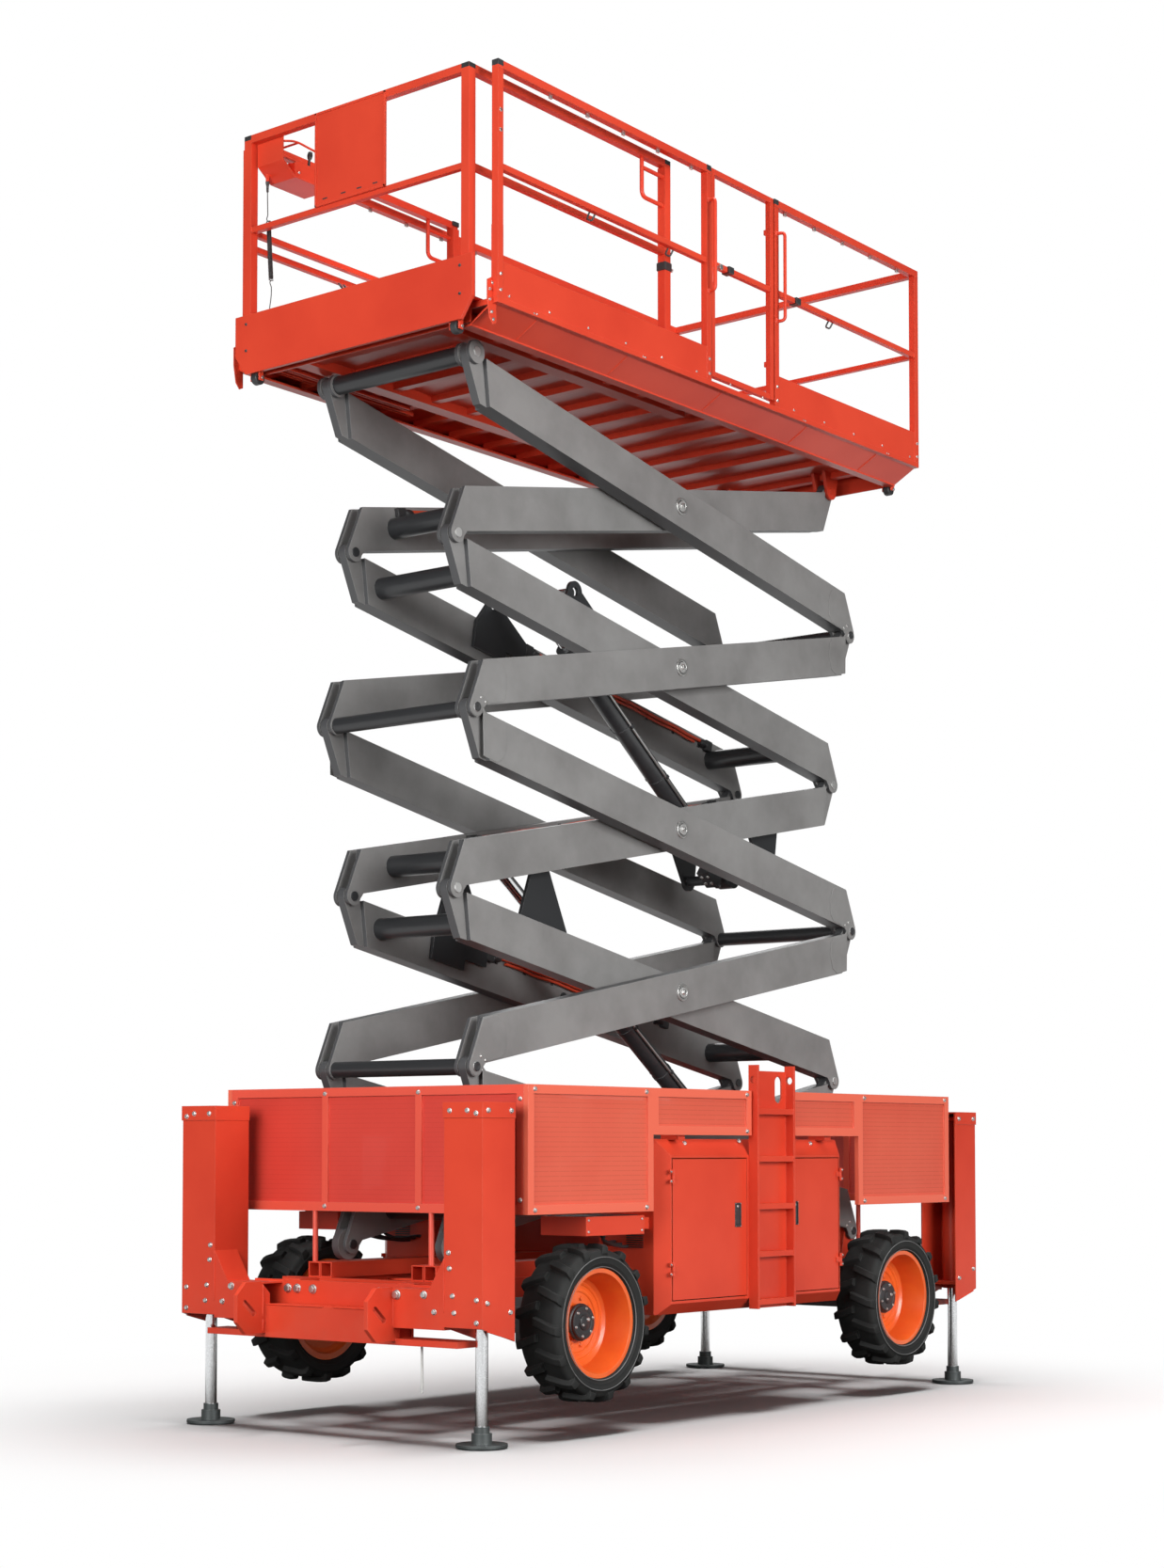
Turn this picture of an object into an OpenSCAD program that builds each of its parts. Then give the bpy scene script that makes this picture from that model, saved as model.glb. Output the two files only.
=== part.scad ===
// Rough-terrain scissor lift standing on four outriggers, raised part way.
// Millimetres. X forward, Y left, Z up, origin on the ground at the middle.

$fn = 40;

/* [Scissor stack] */
// Pin-to-pin length of a scissor arm
arm_len = 3610; // [3500:10:3630]
// Height of one level of the folded stack
level_pitch = 240; // [236:1:250]
// Angle of the pin line above level as it stands
rest_angle = 14.5; // [12:0.5:17]
// Height of an arm's tube
arm_h = 230; // [200:1:232]
// Width of an arm's tube
arm_w = 100; // [98:1:102]
// Outer arms' middle from the centre plane
outer_y = 480; // [476:1:484]
// Inner arms' middle from the centre plane
inner_y = 355; // [352:1:358]
// Rear pins' place along the machine
rear_x = -1700; // [-1720:1:-1690]
// Height of the lowest pins
base_pin_z = 925; // [915:1:935]
// Radius of a pin at an arm's end
end_pin_r = 25; // [20:1:30]
// Radius of a pin at an arm's middle
mid_pin_r = 30; // [25:1:35]
// Radius of the eye around an end pin
eye_r = 50; // [45:1:54]
// Radius of the tubes that join the inner arms
cross_r = 57; // [45:1:62]
// Radius of the shafts that join the outer arms
shaft_r = 42; // [30:1:44]
// Radius of the shaft under the deck
top_shaft_r = 48; // [40:1:50]
// Radius of the lower sliding ends' rollers
low_roller_r = 80; // [70:1:82]
// Radius of the upper sliding ends' rollers
top_roller_r = 60; // [55:1:62]

/* [Lift cylinders] */
// Radius of a lift cylinder's barrel
barrel_r = 57; // [50:1:60]
// Radius of a lift cylinder's rod
ram_r = 35; // [30:1:38]
// Length of the lower barrel past its pin
low_barrel_len = 2380; // [2200:10:2390]
// Length of the upper barrel past its pin
up_barrel_len = 1950; // [1800:10:1960]
// How far the lower rod stands out of its barrel
low_out = 329; // [320:1:340]
// How far the upper rod stands out of its barrel
up_out = 366; // [360:1:375]

/* [Wheels] */
// Distance between the axles
wheelbase = 2874; // [2850:2:2890]
// Height of the wheels' axles
hub_z = 554; // [545:1:565]
// Radius of a tyre at its lugs' tips
tyre_r = 394; // [385:1:400]
// Width of a tyre
tyre_w = 264; // [250:2:270]
// Tyre's middle plane from the centre plane
tyre_y = 928; // [924:1:932]
// Height of a tyre's lugs
lug_h = 26; // [15:1:30]
// Radius of a tyre's bead on its rim
rim_r = 272; // [270:1:275]
// Lugs on each side of a tyre
lug_count = 15; // [12:1:16]
// Steering pin's distance from the centre plane
king_y = 660; // [650:1:670]

/* [Chassis] */
// How far the screens' ends stand past the stack's front pins
screen_over = 195; // [190:1:215]
// Half the width over the side screens
screen_y = 1030; // [1025:1:1040]
// Bottom of the deep screens
screen_low = 1100; // [1080:5:1120]
// Top of the screens
screen_top = 1730; // [1700:5:1760]
// Bottom of the shallow screens over the side boxes
screen_mid = 1490; // [1485:1:1500]
// Front end of the side boxes
pod_front = 850; // [840:1:860]
// Rear end of the side boxes
pod_rear = -880; // [-890:1:-870]
// Outer face of the side boxes
pod_y = 1000; // [995:1:1005]
// Wall of the side boxes and their doors
wall = 20; // [12:1:24]
// Outer face of the ladder
ladder_y = 1060; // [1055:1:1060]
// Top of the main rails
rail_top = 760; // [755:1:765]
// How far the main rails stand past the screens
rail_over = 165; // [160:1:170]
// Top of the ladder
ladder_top = 1870; // [1850:5:1890]
// Distance between the ladder's rungs
rung_pitch = 256; // [250:1:258]
// Inner face of the side boxes
pod_in = 575; // [570:1:580]
// Bottom of the side boxes
pod_low = 560; // [555:1:570]
// Top of the side boxes
pod_top = 1470; // [1465:1:1475]
// Height of the engine
engine_h = 600; // [560:5:640]
// Height of the fluid tank
tank_h = 520; // [480:5:560]

/* [Outriggers] */
// How far the legs stand past the screens
leg_over = 215; // [210:1:225]
// Legs' distance from the centre plane
leg_y = 920; // [915:1:925]
// Radius of a leg's rod
leg_r = 30; // [25:1:34]
// Radius of a foot's pad
pad_r = 124; // [110:1:130]
// How far the outrigger columns reach past the screens
column_over = 330; // [320:1:350]
// Top of the outrigger columns
column_top = 1640; // [1620:5:1660]
// Depth of the outrigger columns along the machine
column_d = 240; // [230:2:244]
// Half the width of an outrigger column
column_w = 120; // [115:1:122]
// Columns' middle from the centre plane
column_y = 900; // [895:1:905]
// Lashing plates' middle from the centre plane
lash_y = 442; // [436:1:448]
// How far the lashing plates reach past the screens
lash_over = 510; // [490:5:520]
// Top of the outrigger beam's boxes
beam_box_top = 745; // [740:1:750]

/* [Platform] */
// Rear end of the deck
deck_rear = -1880; // [-1900:5:-1870]
// Front end of the deck
deck_front = 2090; // [2080:5:2100]
// Half the width of the deck
deck_y = 915; // [905:1:920]
// Guard rail height above the deck
rail_h = 1180; // [1100:5:1200]
// Thickness of a guard rail's tube
tube = 40; // [34:1:42]
// Thickness of the sliding deck's posts
post = 50; // [44:1:52]
// Height of the toe boards
toe_h = 180; // [150:5:190]
// Half the width of the sliding deck's rails
ext_y = 780; // [770:1:786]
// Front face of the sliding deck
ext_front = 2172; // [2160:1:2190]

/* [Hidden] */
run = sqrt(arm_len * arm_len - level_pitch * level_pitch);
tilt = asin(level_pitch / arm_len);
lean = rest_angle - tilt;
span = arm_len * cos(rest_angle);
rise = arm_len * sin(rest_angle);
front_x = rear_x + span;
screen_x = round(front_x) + screen_over;
screen_half = screen_y - 30;
rail_x = screen_x + rail_over;
leg_x = screen_x + leg_over;
column_x = screen_x + column_over;
lash_x = screen_x + lash_over;
edge = (level_pitch - arm_h) / 2;
axle_x = wheelbase / 2;
rail_low = 640;
rail_in = 335;
rail_out = 445;
plat = base_pin_z + 5 * rise;
beam_low = plat + 16;
beam_top = plat + 130;
floor_z = beam_top;
rail_z = floor_z + rail_h;
mid_z = floor_z + 670;
fit = 0.3;
plate = 8;
leg_low = 570;
// Where the lift cylinders sit in their arms' own frames
base_1 = [run - 581, -140];
base_3 = [run - 650, -241];
low_angle = 35.73;
up_angle = 36.95;
// The control lead's route: how far behind the sliding deck's front, place along Y, height above
// the floor and the lead's radius there
coil_r = 13;
lead_r = 4.5;
lead_rows = [[112, -700, 946, lead_r], [112, -700, 921, lead_r], [112, -700, 896, lead_r],
  [112, -700, 866, lead_r], [112, -699, 836, lead_r], [112, -698, 806, lead_r], [112, -697, 776, coil_r],
  [112, -690, 716, coil_r], [112, -686, 656, coil_r], [112, -682, 596, coil_r], [112, -678, 536, coil_r],
  [112, -674, 476, coil_r], [112, -670, 416, coil_r], [112, -668, 376, coil_r], [112, -668, 346, lead_r],
  [112, -672, 311, lead_r], [112, -680, 271, lead_r], [114, -690, 226, lead_r], [118, -697, 176, lead_r],
  [121, -700, 126, lead_r], [122, -700, 66, lead_r]];
control_route = [for (r = lead_rows) [ext_front - r[0], r[1], floor_z + r[2], r[3]]];
// The earth strap's route: how far past the legs, place along Y and height
strap_r = 6;
strap_rows = [[23, 560, 470], [24, 561, 440], [26, 563, 405], [27, 565, 370], [26, 566, 335],
  [24, 565, 300], [23, 562, 265], [23, 560, 238]];
strap_route = [for (r = strap_rows) [leg_x + r[0], r[1], r[2], strap_r]];

function pin_z(k) = base_pin_z + k * rise;
// A place in an arm's own frame, for arms that rise to the front and to the rear
function fore(k, p) = [rear_x + p[0] * cos(lean) - p[1] * sin(lean),
  pin_z(k - 1) + p[0] * sin(lean) + p[1] * cos(lean)];
function aft(k, p) = [front_x - p[0] * cos(lean) + p[1] * sin(lean),
  pin_z(k - 1) + p[0] * sin(lean) + p[1] * cos(lean)];

// A place along the machine and up, brought into the frame of an arm that rises to the front
function in_fore(k, w) = [
  (w[0] - rear_x) * cos(lean) + (w[1] - pin_z(k - 1)) * sin(lean),
  (w[1] - pin_z(k - 1)) * cos(lean) - (w[0] - rear_x) * sin(lean)];
function reach(a, len, angle) = a + len * [cos(angle), sin(angle)];
eye_2 = in_fore(2, reach(aft(1, base_1), low_barrel_len + low_out, low_angle));
eye_4 = in_fore(4, reach(aft(3, base_3), up_barrel_len + up_out, up_angle));

module box(x0, x1, y0, y1, z0, z1) {
  translate([x0, y0, z0]) cube([x1 - x0, y1 - y0, z1 - z0]);
}

module both() {
  children();
  mirror([0, 1, 0]) children();
}

module ends() {
  children();
  mirror([1, 0, 0]) children();
}

// A flat shape in X and Z given a width along Y
module slab(w) {
  rotate([90, 0, 0]) linear_extrude(height = w, center = true) children();
}

module rod_y(r, y0, y1) {
  translate([0, y0, 0]) rotate([-90, 0, 0]) cylinder(r = r, h = y1 - y0);
}

// A round tube along a route of places and radii
module hose(route, sides = 8) {
  last = len(route) - 1;
  points = [for (i = [0 : last])
    let (d = route[min(i + 1, last)] - route[max(i - 1, 0)],
      t = [d[0], d[1], d[2]] / norm([d[0], d[1], d[2]]),
      u = cross(t, [1, 0, 0]) / norm(cross(t, [1, 0, 0])),
      v = cross(t, u))
    for (j = [0 : sides - 1])
      let (a = 360 * j / sides)
      [route[i][0], route[i][1], route[i][2]] + route[i][3] * (cos(a) * u + sin(a) * v)];
  walls = [for (i = [0 : last - 1], j = [0 : sides - 1])
    let (k = (j + 1) % sides)
    [i * sides + j, i * sides + k, (i + 1) * sides + k, (i + 1) * sides + j]];
  polyhedron(points, concat(walls, [[for (j = [sides - 1 : -1 : 0]) j],
    [for (j = [0 : sides - 1]) last * sides + j]]));
}

// Scissor arms

module eye_shape() {
  circle(r = eye_r);
  polygon([[-40, 30], [100, level_pitch - edge], [220, level_pitch - edge], [220, edge], [75, edge],
    [45, -20]]);
}

module arm_bar() {
  slab(arm_w) polygon([[75, edge], [run - 150, edge], [run - 75, level_pitch - edge],
    [150, level_pitch - edge]]);
}

// Low end: a fork with its pin
module fork_end() {
  for (s = [-1, 1]) translate([0, s * (arm_w / 2 - 10), 0]) slab(20) eye_shape();
  rod_y(end_pin_r, -arm_w / 2 - 8, arm_w / 2 + 8);
}

// High end: a tongue with its bore
module tongue_end(bored) {
  translate([run, 0, level_pitch]) rotate([0, 180, 0]) slab(48) difference() {
    eye_shape();
    if (bored) circle(r = end_pin_r + fit);
  }
}

// Places an arm of level k that rises to the front or, turned round, to the rear
module stand(k, to_front) {
  if (to_front) {
    translate([rear_x, 0, pin_z(k - 1)]) rotate([0, -lean, 0]) children();
  } else {
    translate([front_x, 0, pin_z(k - 1)]) mirror([1, 0, 0]) rotate([0, -lean, 0]) children();
  }
}

module outer_side(k) {
  arm_bar();
  fork_end();
  tongue_end(k < 5);
  translate([run / 2, 0, level_pitch / 2]) {
    rod_y(mid_pin_r, -(outer_y - inner_y) - arm_w / 2 - 6, arm_w / 2 + 14);
    rod_y(mid_pin_r + 16, arm_w / 2 - 1, arm_w / 2 + 6);
    rod_y(mid_pin_r + 20, -arm_w / 2 - 18, -arm_w / 2 + 1);
  }
  if (k == 5) {
    translate([run, 0, level_pitch]) {
      rod_y(end_pin_r, -54, 54);
      for (s = [-1, 1]) translate([0, s * 39, 0]) rod_y(top_roller_r, -11, 11);
    }
  }
}

module outer_pair(k) {
  stand(k, k % 2 == 1) {
    translate([0, outer_y, 0]) outer_side(k);
    mirror([0, 1, 0]) translate([0, outer_y, 0]) outer_side(k);
    rod_y(shaft_r, -outer_y + arm_w / 2 - 1, outer_y - arm_w / 2 + 1);
    if (k == 5) translate([run, 0, level_pitch]) rod_y(top_shaft_r, -outer_y + 20, outer_y - 20);
  }
}

module inner_side(k) {
  difference() {
    arm_bar();
    translate([run / 2, 0, level_pitch / 2]) rod_y(mid_pin_r + fit, -arm_w, arm_w);
  }
  fork_end();
  tongue_end(true);
  if (k == 1) rod_y(low_roller_r, -22, 22);
}

// A plate from the arm's inner face out to a lift cylinder's pin
module lug(p, hole) {
  up = p[1] > level_pitch / 2;
  v = up ? level_pitch - edge - 20 : edge + 20;
  slab(20) difference() {
    union() {
      translate(p) circle(r = 58);
      polygon(up
        ? [[p[0] - 330, v], [p[0] - 56, p[1] + 14], [p[0] + 56, p[1] - 14], [p[0] + 120, v]]
        : [[p[0] - 150, v], [p[0] - 57, p[1] - 5], [p[0] + 57, p[1] - 5], [p[0] + 150, v]]);
      polygon([[p[0] - 150, 60], [p[0] - 150, 180], [p[0] + 120, 180], [p[0] + 120, 60]]);
      if (up) polygon([[p[0] - 330, 120], [p[0] - 330, v], [p[0] + 120, v], [p[0] + 120, 120]]);
      if (!up) polygon([[p[0] - 150, v], [p[0] - 150, 120], [p[0] + 150, 120], [p[0] + 150, v]]);
    }
    if (hole) translate(p) circle(r = 26);
  }
}

module lugs(p, hole) {
  y = inner_y - arm_w / 2;
  both() {
    translate([0, y - 16, 0]) lug(p, hole);
    box(p[0] - 140, p[0] + 110, y - 8, y + 2, 70, 170);
  }
}

module inner_pair(k) {
  y = inner_y - arm_w / 2;
  stand(k, k % 2 == 0) {
    translate([0, inner_y, 0]) inner_side(k);
    mirror([0, 1, 0]) translate([0, inner_y, 0]) inner_side(k);
    translate([330, 0, level_pitch / 2]) rod_y(cross_r, -y - 1, y + 1);
    translate([run - 230, 0, level_pitch / 2]) rod_y(cross_r, -y - 1, y + 1);
    if (k == 1) {
      lugs(base_1, false);
      translate([base_1[0], 0, base_1[1]]) rod_y(30, -y + 16, y - 16);
    }
    if (k == 3) {
      lugs(base_3, false);
      translate([base_3[0], 0, base_3[1]]) rod_y(30, -y + 16, y - 16);
    }
    if (k == 2) lugs(eye_2, true);
    if (k == 4) lugs(eye_4, true);
  }
}

// Lift cylinders, drawn along X from their base pin

module along(a, b) {
  translate([a[0], 0, a[1]]) rotate([0, -atan2(b[1] - a[1], b[0] - a[0]), 0]) children();
}

module rod_x(r, x0, x1) {
  translate([x0, 0, 0]) rotate([0, 90, 0]) cylinder(r = r, h = x1 - x0);
}

module barrel(len) {
  difference() {
    union() {
      rod_x(barrel_r, 20, len);
      rod_y(62, -48, 48);
      rod_x(barrel_r + 6, len - 60, len);
      translate([150, 0, -barrel_r - 40]) cube([130, 80, 100], center = true);
    }
    rod_x(ram_r + fit, 110, len + 1);
    rod_y(30 + fit, -60, 60);
  }
}

module ram(reach, back) {
  rod_x(ram_r, back, reach);
  translate([reach, 0, 0]) {
    rod_y(48, -60, 60);
    rod_y(25, -272, 272);
  }
}

// Chassis

module chassis_frame() color("firebrick") {
  both() {
    box(-rail_x, rail_x, rail_in, rail_out, rail_low, rail_top);
    for (x = [-700, 700]) box(x - 50, x + 50, rail_out, pod_in, rail_low, rail_top - 20);
    difference() {
      union() {
        box(rear_x - 100, rear_x + 100, rail_out - 1, outer_y + 24, rail_low, rail_top);
        translate([rear_x, outer_y, base_pin_z]) slab(48) {
          circle(r = eye_r);
          polygon([[-90, rail_top - base_pin_z - 1], [-46, 18], [46, 18], [90, rail_top - base_pin_z - 1]]);
        }
      }
      translate([rear_x, outer_y, base_pin_z]) rod_y(end_pin_r + fit, -40, 40);
    }
  }
  for (x = [70 - screen_x, -axle_x, 0, axle_x, screen_x - 70])
    box(x - 60, x + 60, -rail_in, rail_in, rail_low, rail_top - 20);
  ends() box(screen_x - 40, screen_x + 20, -600, 600, rail_low + 20, rail_top);
}

// Pairs of square tubes that the lower rollers run on, open at the front for a fork
fork_h = 80;
fork_wall = 7;
strut_y = 397;
strut_r = 14;

module base_rails() color("firebrick") both() for (y = [strut_y - fork_h - 4, strut_y]) {
  translate([0, y, rail_top + fork_h / 2]) difference() {
    translate([(250 + screen_x - 5) / 2, 0, 0]) cube([screen_x - 5 - 250, fork_h, fork_h], center = true);
    translate([screen_x, 0, 0]) cube([600, fork_h - 2 * fork_wall, fork_h - 2 * fork_wall], center = true);
  }
}

module front_axle() color("dimgray") {
  translate([axle_x, 0, 0]) difference() {
    union() {
      box(-70, 70, -590, 590, hub_z - 65, hub_z + 65);
      both() {
        box(-60, 60, 560, king_y + 45, hub_z + 90, hub_z + 114);
        box(-60, 60, 560, king_y + 45, hub_z - 114, hub_z - 90);
        box(-60, 60, 540, 590, hub_z - 114, hub_z + 114);
        box(-70, 70, rail_in, rail_out, hub_z + 60, rail_low);
      }
    }
    both() translate([0, king_y, hub_z - 130]) cylinder(r = 22 + fit, h = 260);
  }
}

module rear_axle() color("dimgray") translate([-axle_x, 0, 0]) {
  box(-70, 70, -780, 780, hub_z - 65, hub_z + 65);
  both() {
    box(-70, 70, rail_in, rail_out, hub_z + 60, rail_low);
    translate([0, 0, hub_z]) {
      rod_y(120, 760, 850);
      rod_y(45, 840, 925);
    }
  }
}

module knuckle(s) color("dimgray") translate([axle_x, 0, hub_z]) mirror([0, s < 0 ? 1 : 0, 0]) {
  translate([0, king_y, -84]) cylinder(r = 46, h = 168);
  translate([0, king_y, -118]) cylinder(r = 22, h = 236);
  rod_y(60, king_y, 850);
  rod_y(120, 800, 850);
  rod_y(45, 840, 925);
  box(-170, 0, king_y + 20, king_y + 50, -30, 10);
}

// A tyre's section: radius and distance from its middle plane, from one bead to the other
tyre_section = let (h = tyre_w / 2, c = tyre_r - lug_h, bead = rim_r / cos(90 / lug_count))
  [[bead, -h + 26], [rim_r + 50, -h], [c - 12, -h + 12], [c, -h + 36],
    [c, h - 36], [c - 12, h - 12], [rim_r + 50, h], [bead, h - 26]];

module tyre_body(steps) {
  n = len(tyre_section);
  points = [for (i = [0 : steps - 1], p = tyre_section)
    [p[0] * cos(360 * i / steps), p[1], p[0] * sin(360 * i / steps)]];
  faces = [for (i = [0 : steps - 1], j = [0 : n - 1])
    let (a = i * n, b = (i + 1) % steps * n, k = (j + 1) % n)
    [a + j, b + j, b + k, a + k]];
  polyhedron(points, faces);
}

// A slanted lug from the tread's middle out over the shoulder
module tyre_lug() {
  h = tyre_w / 2;
  root = tyre_r - lug_h - 30;
  translate([root, 0, 0]) rotate([90, 0, 90]) linear_extrude(height = tyre_r - root)
    polygon([[-6, 3], [h - 4, -45], [h - 4, -2], [-6, 46]]);
}

module tyre_at(x, s) color("black") translate([x, s * tyre_y, hub_z]) mirror([0, s < 0 ? 1 : 0, 0]) {
  tyre_body(2 * lug_count);
  for (i = [0 : lug_count - 1]) rotate([0, 360 * i / lug_count, 0]) {
    tyre_lug();
    rotate([0, 180 / lug_count, 0]) mirror([0, 1, 0]) tyre_lug();
  }
}

module rim_at(x, s) color("orangered") translate([x, 0, hub_z]) mirror([0, s < 0 ? 1 : 0, 0]) {
  h = tyre_w / 2 - 26;
  translate([0, tyre_y, 0]) rotate([90, 0, 0]) rotate_extrude() polygon([
    [rim_r - fit, -h], [rim_r - fit, h], [240, h], [230, 78], [210, 66], [75, 72], [45 + fit, 72],
    [45 + fit, 22], [75, 22], [80, 48], [206, 42], [222, 30], [250, -h]]);
}

module screen(w, h) {
  difference() {
    cube([w, 28, h]);
    translate([45, -1, 45]) cube([w - 90, 30, h - 90]);
  }
  translate([40, 11, 40]) cube([w - 80, 6, h - 80]);
}

module end_screens() color("firebrick") {
  ends() translate([screen_x, -screen_half, screen_low]) rotate([0, 0, 90]) {
    screen(2 * screen_half, screen_top - screen_low);
    for (y = [screen_half - 340, screen_half + 300])
      translate([y, 0, 40]) cube([40, 28, screen_top - screen_low - 80]);
  }
  for (at = [[screen_x - strut_r, rail_top + fork_h], [strut_r - screen_x, rail_top]])
    both() translate([at[0], strut_y, at[1]]) cylinder(r = strut_r, h = screen_low - at[1]);
}

module side_screens() color("firebrick") both() {
  translate([0, screen_half, 0]) {
    ends() translate([980, 0, screen_low]) screen(screen_x - 980, screen_top - screen_low);
    translate([96, 0, screen_mid]) screen(980 - 96, screen_top - screen_mid);
    translate([-980, 0, screen_mid]) screen(980 - 286, screen_top - screen_mid);
  }
}

module pod_solid(g) {
  intersection() {
    translate([pod_rear + g, 0, 0]) rotate([90, 0, 90]) linear_extrude(height = pod_front - pod_rear - 2 * g)
      polygon([[pod_in + g, pod_low + g], [pod_y - 60 - g, pod_low + g], [pod_y - g, pod_low + 57 + g / 2],
        [pod_y - g, pod_top - 88 - g / 2], [pod_y - 70 - g / 2, pod_top - g], [pod_in + g, pod_top - g]]);
    translate([0, 0, 500]) linear_extrude(height = 1000)
      polygon([[pod_rear + g, 500], [pod_rear + g, pod_y - 70 - g / 2], [pod_rear + 70 + g / 2, pod_y + 10],
        [pod_front - 70 - g / 2, pod_y + 10], [pod_front - g, pod_y - 70 - g / 2], [pod_front - g, 500]]);
  }
}

// Each door: its rear edge, its front edge and which of them is hinged
doors = [[104, 776, 1], [-806, -290, -1]];
door_low = 635;
door_top = 1365;
door_gap = 5;
hinge_gap = 9;
hinge_z = [760, 1240];
hinge_y = pod_y + 9;

function hinge_x(d) = d[2] > 0 ? d[1] + 8 : d[0] - 8;

module hinge_at(d, z) {
  translate([hinge_x(d), hinge_y, z]) children();
}

// A flat box under the front screen, carried by the side box
module valve_box() {
  box(pod_front - 1, 1012, 720, 900, screen_low - 95, screen_low - 35);
  box(1010, 1490, 700, screen_y - 40, screen_low - 115, screen_low - 20);
}

module pod() {
  difference() {
    pod_solid(0);
    pod_solid(wall);
    for (d = doors) box(d[0] - (d[2] > 0 ? door_gap : hinge_gap), d[1] + (d[2] > 0 ? hinge_gap : door_gap),
      pod_y - 100, pod_y + 100, door_low - door_gap, door_top + door_gap);
  }
  for (x = [-700, 700]) box(x - 30, x + 30, pod_y - 110, screen_y - 30, pod_top - 5, screen_mid + 25);
  valve_box();
  for (d = doors, z = hinge_z) hinge_at(d, z) {
    cylinder(r = 4, h = 70);
    for (h = [0, 50]) translate([0, 0, h]) cylinder(r = 8, h = 20);
    for (h = [0, 50]) translate([d[2] > 0 ? 0 : -26, -10, h]) cube([26, 10, 20]);
  }
}

module side_boxes() color("firebrick") both() pod();

module door(d) color("firebrick") difference() {
  union() {
    box(d[0], d[1], pod_y - wall, pod_y, door_low, door_top);
    for (z = hinge_z) hinge_at(d, z + 21) {
      cylinder(r = 8, h = 28);
      translate([d[2] > 0 ? -40 : 0, -10, 0]) cube([40, 10, 28]);
    }
  }
  for (z = hinge_z) hinge_at(d, z) cylinder(r = 4 + fit, h = 70);
  translate([d[2] > 0 ? d[0] + 50 : d[1] - 110, pod_y - 8, 1000]) cube([60, 9, 130]);
}

// The heavy masses inside the side boxes stand on the boxes' floors
mass_x = [-60, 640];

module engine_block() color("dimgray")
  box(mass_x[0], mass_x[1], pod_in + 65, pod_y - 80, pod_low + wall, pod_low + wall + engine_h);

module fluid_tank() color("dimgray")
  box(mass_x[0], mass_x[1], -pod_y + 80, -pod_in - 65, pod_low + wall, pod_low + wall + tank_h);

module ladder() color("firebrick") {
  for (x = [-280, 68]) difference() {
    box(x, x + 16, pod_y, ladder_y, pod_low, ladder_top);
    translate([x - 1, ladder_y - 30, ladder_top - 80]) rotate([0, 90, 0]) cylinder(r = 20, h = 20);
  }
  for (k = [0 : 4]) translate([0, 0, pod_low + 20 + k * rung_pitch])
    box(-265, 69, pod_y + 24, ladder_y - 4, 0, 30);
  difference() {
    box(-265, 69, pod_y, pod_y + 8, pod_low, ladder_top - 30);
    for (z = [170, 90]) translate([-190, pod_y - 1, ladder_top - z]) rod_y(32, 0, 10);
    box(-222, -158, pod_y - 1, pod_y + 9, ladder_top - 170, ladder_top - 90);
  }
}

// Outriggers

module column() {
  x0 = column_x - column_d;
  y0 = column_y - column_w;
  y1 = column_y + column_w;
  difference() {
    translate([0, column_y, 0]) slab(2 * column_w)
      polygon([[x0, leg_low - 70], [x0, column_top], [column_x, column_top], [column_x, leg_low]]);
    box(x0 - 1, column_x - plate, y0 + plate, y1 - plate, leg_low - 200, column_top - 10);
  }
  difference() {
    box(x0, column_x + 5, y0 - 5, y1 + 5, column_top - 75, column_top);
    box(x0 - 1, column_x - 1, y0 + 1, y1 - 1, column_top - 80, column_top + 1);
  }
  difference() {
    union() {
      for (z = [leg_low + 30, column_top - 50]) box(x0 + 20, column_x - 6, y0 + 6, y1 - 6, z, z + 20);
      translate([leg_x, leg_y, leg_low + 5]) cylinder(r = leg_r + 25, h = column_top - 50 - leg_low - 5);
    }
    translate([leg_x, leg_y, leg_low]) cylinder(r = leg_r + fit, h = column_top - 60 - leg_low);
  }
}

// The box that carries a column, open behind, with its shoulder up the column's side
module beam_box(in, x0, x1) {
  y0 = column_y - column_w;
  translate([x0, 0, 0]) rotate([90, 0, 90]) linear_extrude(height = x1 - x0)
    polygon([[y0 + 1, 900 - in], [y0 - 95 + in / 2, beam_box_top - in], [lash_y, beam_box_top - in],
      [lash_y, leg_low - 15 + in], [y0 + 1, leg_low - 15 + in]]);
}

// An eight-sided plate with a slanted slot
module lash_plate() {
  x0 = lash_x - 230;
  cut = 62;
  z0 = beam_box_top - 255;
  z1 = beam_box_top + 5;
  translate([0, lash_y, 0]) slab(24) difference() {
    polygon([[x0, z0], [lash_x - cut, z0], [lash_x, z0 + cut], [lash_x, z1 - cut], [lash_x - cut, z1],
      [x0 + cut, z1], [x0, z1 - cut]]);
    translate([lash_x - 85, (z0 + z1) / 2]) rotate(42) {
      square([80, 30], center = true);
      for (s = [-1, 1]) translate([s * 40, 0]) circle(r = 15);
    }
  }
}

module outrigger_frames() color("firebrick") ends() {
  back = column_x - column_d;
  both() {
    column();
    difference() {
      beam_box(0, back + 80, column_x);
      beam_box(plate, back + 79, column_x - plate);
    }
    lash_plate();
  }
  box(back + 100, column_x - 20, -lash_y, lash_y, 500, beam_box_top - 110);
  box(rail_x, rail_x + 14, -640, 640, leg_low, beam_box_top + 10);
  box(rail_x, column_x - 20, -leg_y + 70, leg_y - 70, 470, 501);
  box(rail_x, rail_x + 14, -lash_y, lash_y, 470, leg_low + 1);
}

module leg_rod(sx, sy) color("silver") translate([sx * leg_x, sy * leg_y, 0]) {
  translate([0, 0, 40]) cylinder(r = leg_r, h = 1080);
}

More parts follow.
